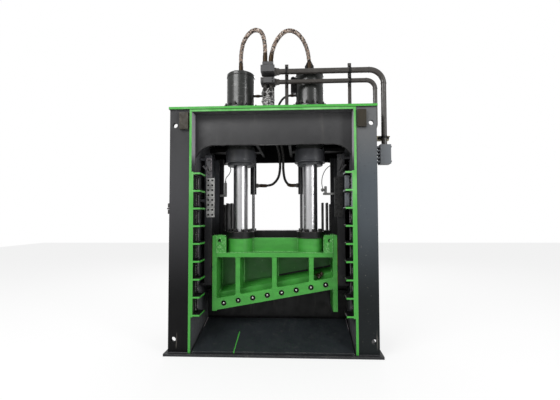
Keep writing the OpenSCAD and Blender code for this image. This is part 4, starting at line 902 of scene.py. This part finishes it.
def bay_spacers():
    """Spacers in the two highest bays on the right, each with three bolts."""
    spacers, bolts = Form(), Form()
    wall, y = high("rib_combs").x - 0.02, low("rib_combs").y + 0.09
    for i in (BAYS - 2, BAYS - 1):
        foot, head = rib_height(i) + 2 * RIB_HALF, rib_height(i + 1) - 2 * RIB_HALF
        spacers.block(Vector((wall - 0.062, y, foot)), Vector((wall - 0.014, y + 0.06, head)), 6)
        for share in (0.22, 0.5, 0.78):
            bolts.turned(Vector((wall - 0.007, y, foot + (head - foot) * share)), FRONT,
                ((9, -20), (9, 10), (7, 12), (4, 12), (4, 4)), 14)
    spacers.settle("bay_spacers", "block", "frame")
    bolts.settle("bay_spacer_bolts", "screw", "frame")


def eye_gussets():
    """Two small gussets beside each eye plate, from corners across and in height in millimetres."""
    gussets = Form()
    y = low("eye_plates").y - 0.002
    upper = ((752, 2006), (700, 2020), (700, 1900), (712, 1900))
    lower = ((790, 1955), (775, 1965), (702, 1878), (712, 1862))
    for side in SIDES:
        for corners, thick in ((upper, 0.014), (lower, 0.012)):
            gussets.plate([Vector((side * x * MM, y, z * MM)) for x, z in corners], FRONT * thick, 2)
    gussets.settle("eye_gussets", "eye", "frame")


def eye_slots():
    """In each eye plate a dark strip standing in for a slot as painted shade, and a round hole; a pale rim around
    the left one.
    """
    slots, rims = Form(), Form()
    eye_low, eye_high = low("eye_plates"), high("eye_plates")
    width = 0.05
    for side in SIDES:
        x = side * (eye_high.x - width / 2)
        # Painted shade: a dark strip laid on the plate where the slot shows dark
        slots.block(Vector((x - 0.005, eye_low.y - 0.003, eye_low.z + 0.03)),
            Vector((x + 0.005, eye_low.y + 0.004, eye_high.z - 0.055)), 1)
        slots.turned(Vector((x, eye_low.y + 0.002, eye_high.z - 0.028)), FRONT,
            ((11, 0), (11, 5), (9, 7), (6, 7), (6, 0), (11, 0)), 24)
    slots.settle("eye_slots", "screw", "frame")
    outer, inner = -eye_high.x, -eye_high.x + width
    for x in (outer, inner):
        rims.upright(x, eye_low.y, eye_low.z, eye_high.z, 0.009, 10)
    rims.across(outer, inner, eye_low.y, eye_high.z, 0.009, 10)
    rims.settle("eye_rims", "weld_light", "frame")


def column_lugs():
    """Small lugs on the outer edge of the left column's front flange."""
    lugs = Form()
    for z in (1430, 1495):
        lugs.block(at(-1082, 12, z), at(-1063, 43, z + 45), 3)
    lugs.block(at(-1090, 11, 1478), at(-1063, 44, 1492), 3)
    lugs.settle("column_lugs", "dark", "frame")


def chute_seams():
    """Beads along both sides of the chute's floor."""
    seams = Form()
    for side in SIDES:
        seams.bead([at(side * 812, 0, 30), at(side * 812, 585, 205)], 0.012, 10)
    seams.settle("chute_seams", "weld_light", "frame")


def seat_rings():
    """Clamp ring with studs around the foot of each barrel."""
    seats, studs = Form(), Form()
    ring = ((161, 0), (193, 0), (197, 4), (197, 70), (192, 76), (172, 78), (166, 84), (161, 84), (161, 0))
    count = 16
    for side in SIDES:
        foot = cylinder(side, high("seat_bolt_ring").z)
        seats.turned(foot, UP, ring, 72)
        for k in range(count):
            place = foot + spoke(math.tau * (k + 0.5) / count) * 0.182 + UP * 0.076
            studs.bolt(place, UP, 27, 30)
            studs.turned(place, UP, ((8, 30), (8, 42), (6.5, 44)), 12)
        seats.bead(ring_points(foot + UP * 0.082, 0.164), 0.014)
    seats.settle("seat_rings", "barrel", "frame")
    studs.settle("seat_studs", "screw", "frame")


def cap_screws():
    """Socket screws on the barrels' caps and a bead under each cap."""
    screws = Form()
    count = 8
    for side in SIDES:
        for k in range(count):
            spot = spoke(math.tau * (k + 0.5) / count) * 0.118
            screws.socket_screw(cylinder(side, high("barrel_caps").z) + spot, UP, 26)
        screws.bead(ring_points(cylinder(side, low("barrel_caps").z), 0.161), 0.007)
    screws.settle("cap_screws", "screw", "frame")


def end_stretch(path, reach):
    """The first points of a path, until they have run further than reach."""
    run = 0.0
    for i, (a, b) in enumerate(zip(path, path[1:])):
        run += (b - a).length
        if run > reach:
            return path[: i + 2]
    return path


def hose_ferrules():
    """Crimped ferrule on both ends of every hose."""
    ferrules = Form()
    steps = 24
    for diameter, _, route in ROUTES.values():
        reach = FERRULE_REACH[diameter] * MM
        half = diameter / 2 * MM

        def crimp(run, turn):
            band = 0.5 + 0.5 * math.cos(math.tau * run / (9 * MM))
            taper = 1.0 if run < reach * 0.8 else 0.93
            return half * (1.32 + 0.07 * band) * taper

        path = smooth_path(route)
        for points in (path, path[::-1]):
            stretch = end_stretch(points, reach)
            if diameter == DRAIN_HOSE_D:
                spine = [stretch[0].lerp(stretch[-1], k / steps) for k in range(steps + 1)]
            else:
                picks = dict.fromkeys(k * (len(stretch) - 1) // steps for k in range(steps + 1))
                spine = [stretch[i] for i in picks]
            ferrules.tube(spine, crimp, 20)
    ferrules.settle("hose_ferrules", "ferrule", "frame")


def port_fork():
    """Forked fitting with two nuts on the right barrel's cap."""
    fork = Form()
    foot = cylinder(1, high("barrel_caps").z)
    prong = ((0.01, 0.15), (0.024, 0.122), (0.036, 0.092))
    for side in SIDES:
        fork.tube([foot + Vector((side * x, 0, z)) for x, z in prong], 0.012, 12)
        fork.bolt(foot + Vector((side * 0.037, 0, 0.066)), UP, 30, 34)
    fork.turned(foot, UP, ((42, 0), (42, 40), (36, 46), (36, 62), (20, 66)), 6)
    fork.settle("port_fork", "screw", "frame")


def valve_middle():
    """Place across of the valve block's middle."""
    return (low("valve_blocks").x + high("valve_blocks").x) / 2


def hose_flange():
    """Flange under the two large hoses on top of the valve block."""
    flange = Form()
    half, depth, thick = 0.06, 0.045, 0.036
    foot = Vector((valve_middle(), at(0, PIPE_DEPTH, 0).y, high("valve_blocks").z))
    flange.block(foot - Vector((half, depth, 0)), foot + Vector((half, depth, thick)), 3)
    for side in SIDES:
        flange.socket_screw(foot + Vector((0, side * 0.03, thick)), UP, 14)
    flange.settle("hose_flange", "valve", "frame")


def valve_elbows():
    """Two rows of elbows and plugs at the valve block's foot, and four screws above them."""
    elbows = Form()
    centre, front = valve_middle(), low("valve_blocks").y
    for z in (2.81, 2.755):
        for side in SIDES:
            spot = Vector((centre + side * 0.033, front + 0.075, z))
            elbows.turned(spot, -UP, ((27, 0), (27, 22), (22, 30), (22, 44)), 6)
            elbows.turned(spot + Vector((0, -0.03, -0.02)), FRONT, ((19, 0), (19, 26), (14, 30), (6, 30), (6, 22)), 24)
    for side in SIDES:
        for z in (2.868, 2.898):
            elbows.socket_screw(Vector((centre + side * 0.055, front, z)), FRONT, 14)
    elbows.settle("valve_elbows", "screw", "frame")


def hose_bundle():
    """The wrapped bundle in which the hoses go down behind the header."""
    spine = [at(valve_middle() / MM, PIPE_DEPTH - 7, z) for z in range(2542, 2800, 8)]
    # A straight tube's turns start halfway between across and depth
    quarter = math.pi / 4

    def girth(run, turn):
        fold = 0.07 * math.sin(run * 70 + 2 * turn) + 0.06 * math.sin(run * 130 - 3 * turn)
        rough = 0.16 * noise.noise(Vector((math.cos(turn) * 2, math.sin(turn) * 2, run * 22)))
        flat = 0.04 / math.hypot(math.cos(turn + quarter) * 0.62, math.sin(turn + quarter) * 1.1)
        return flat * (1 + fold + rough)

    Form().tube(spine, girth, 36).settle("hose_bundle_wrap", "wrap", "frame")


def pipe_rings():
    """Weld rings at both ends of each pipe's bend, and the nuts that join the pipes to the valve block."""
    rings = Form()
    y = at(0, PIPE_DEPTH, 0).y
    pipes = (("pressure_pipe", 30, 0.155), ("return_pipe", 24, 0.095))
    for pipe, radius, bend in pipes:
        x, z = high(pipe).x - radius * MM, high(pipe).z - radius * MM
        ring = ((radius - 1, -5), (radius + 2.5, -3), (radius + 3, 0), (radius + 2.5, 3), (radius - 1, 5))
        rings.turned(Vector((x - bend, y, z)), RIGHT, ring, 32)
        rings.turned(Vector((x, y, z - bend)), UP, ring, 32)
    for pipe, radius, _ in pipes:
        rings.turned(Vector((high("valve_blocks").x, y, high(pipe).z - radius * MM)), RIGHT,
            ((radius + 14, 0), (radius + 14, 16), (radius + 8, 20), (radius + 8, 44), (radius + 1, 52)), 6)
    rings.settle("pipe_nuts_and_welds", "pipe", "frame")


def port_block_screws():
    """Four screws in the port block's outer face."""
    screws = Form()
    corner = low("port_block")
    span = high("port_block") - corner
    for z_share in (0.12, 0.88):
        for y_share in (0.14, 0.86):
            screws.socket_screw(corner + Vector((span.x, span.y * y_share, span.z * z_share)), RIGHT, 16)
    screws.settle("port_block_screws", "screw", "frame")


def cable(name, route, thick=9):
    """Thin cable along a route, in millimetres."""
    Form().tube(smooth_path(route, 10), thick / 2 * MM, 10).settle(name, "rubber", "frame")


def limit_switches():
    """Limit switches beside the rear guides, each on a bracket and with a looped cable."""
    left, right = Form(), Form()
    left.block(at(-690, 626, 1640), at(-606, 640, 1668), 2)
    left.block(at(-634, 618, 1650), at(-604, 642, 1812), 4)
    left.block(at(-626, 618, 1812), at(-612, 638, 1836), 2)
    left.settle("left_limit_switch", "steel", "frame")
    cable("left_switch_cable", [(-619, 628, 1830), (-612, 628, 1872), (-574, 628, 1920), (-556, 628, 1975),
        (-582, 628, 2022), (-632, 629, 2030), (-682, 630, 2004), (-700, 640, 1950)])
    right.block(at(560, 626, 1655), at(690, 640, 1683), 2)
    right.turned(at(556, 640, 1716), FRONT, ((21, 0), (21, 18), (18, 21), (9, 21), (9, 8)), 28)
    right.block(at(575, 618, 1668), at(606, 642, 1760), 4)
    right.settle("right_limit_switch", "steel", "frame")
    cable("right_switch_cable", [(556, 628, 1735), (546, 628, 1800), (556, 628, 1880), (590, 627, 1955),
        (648, 627, 2006), (712, 629, 2000), (736, 640, 1940)])


def make_camera():
    """The photograph's place and direction, found from the frame's own edges."""
    width, sensor = 560, 36
    focal_length, shift_across, shift_up = 330, -5.5, 4.1  # in the photograph's pixels
    yaw, pitch, roll = -0.0438, 0.0384, -0.0035
    ahead = Vector((math.sin(yaw) * math.cos(pitch), math.cos(yaw) * math.cos(pitch), math.sin(pitch)))
    right = Vector((math.cos(yaw), -math.sin(yaw), 0))
    up = right.cross(ahead)
    right, up = right * math.cos(roll) + up * math.sin(roll), up * math.cos(roll) - right * math.sin(roll)
    data = bpy.data.cameras.new("camera")
    data.sensor_width = sensor
    data.lens = focal_length / width * sensor
    data.shift_x = shift_across / width
    data.shift_y = shift_up / width
    camera = into_scene("camera", data)
    turn = Matrix((right, up, -ahead)).transposed().to_4x4()
    camera.matrix_world = Matrix.Translation(at(283, -3339, 1396)) @ turn
    bpy.context.scene.camera = camera


def make_world():
    """Surroundings that look white and light the object softly."""
    world = bpy.data.worlds.new("studio")
    bpy.context.scene.world = world
    world.use_nodes = True
    tree = world.node_tree
    back = tree.nodes["Background"]
    back.inputs["Color"].default_value = WHITE
    path = tree.nodes.new("ShaderNodeLightPath")
    mix = tree.nodes.new("ShaderNodeMix")
    mix.data_type = "FLOAT"
    mix.inputs["A"].default_value = 0.56
    mix.inputs["B"].default_value = 1.0
    tree.links.new(path.outputs["Is Camera Ray"], mix.inputs["Factor"])
    tree.links.new(mix.outputs["Result"], back.inputs["Strength"])


def make_floor():
    """Pale floor, a hair below the base plate, that keeps the shadow."""
    reach, drop, whiteness = 14, 0.0005, 0.76
    corners = [(-reach, -reach, 0), (reach, -reach, 0), (reach, reach, 0), (-reach, reach, 0)]
    mesh = bpy.data.meshes.new("floor")
    mesh.from_pydata(corners, [], [(0, 1, 2, 3)])
    floor = into_scene("floor", mesh)
    floor.location.z = -drop
    finish = Finish("floor", (0.9, 0.9, 0.9, 1), specular=0.1)
    finish.roughness = 0.9
    glow = finish.add("ShaderNodeEmission")
    glow.inputs["Color"].default_value = WHITE
    camera_ray = finish.add("ShaderNodeLightPath").outputs["Is Camera Ray"]
    blend = finish.add("ShaderNodeMixShader")
    finish.put(blend.inputs["Fac"], finish.product(camera_ray, whiteness))
    finish.put(blend.inputs[1], finish.shader.outputs["BSDF"])
    finish.put(blend.inputs[2], glow.outputs["Emission"])
    finish.put(finish.surface, blend.outputs["Shader"])
    mesh.materials.append(finish.done())


def make_lamp(name, place, target, size, power):
    data = bpy.data.lights.new(name, "AREA")
    data.shape = "RECTANGLE"
    data.size, data.size_y = size
    data.energy = power
    lamp = into_scene(name, data)
    lamp.location = place
    lamp.rotation_euler = (Vector(target) - Vector(place)).to_track_quat("-Z", "Y").to_euler()


make_camera()
make_world()
make_floor()
make_lamp("key", (-3.2, -4.6, 5.2), (0, 0, 1.6), (3.5, 2.5), 260)
make_lamp("fill", (4.4, -4.4, 3.4), (0, 0, 1.5), (1.2, 4.0), 150)
make_lamp("back", (0, 5.0, 4.5), (0, 0, 1.5), (5, 2), 160)
for hose, (diameter, finish, route) in ROUTES.items():
    make_hose(hose, diameter, finish, route)
for finish, names in FINISH_NODES.items():
    for node in names.split():
        dress(node, finish)

on_the_carriage = (carriage_welds, weld_crust, blade_bolt_details, slot_strip, grease_patch, rod_flange_rims)
on_the_frame = (frame_welds, rib_stitches, bay_spacers, eye_gussets, eye_slots, column_lugs)
on_the_hydraulics = (seat_rings, cap_screws, hose_ferrules, port_fork, hose_flange, valve_elbows, hose_bundle,
    pipe_rings, port_block_screws, limit_switches, chute_seams)
for make in (*on_the_carriage, *on_the_frame, *on_the_hydraulics):
    make()

bpy.context.scene.view_settings.view_transform = "Standard"
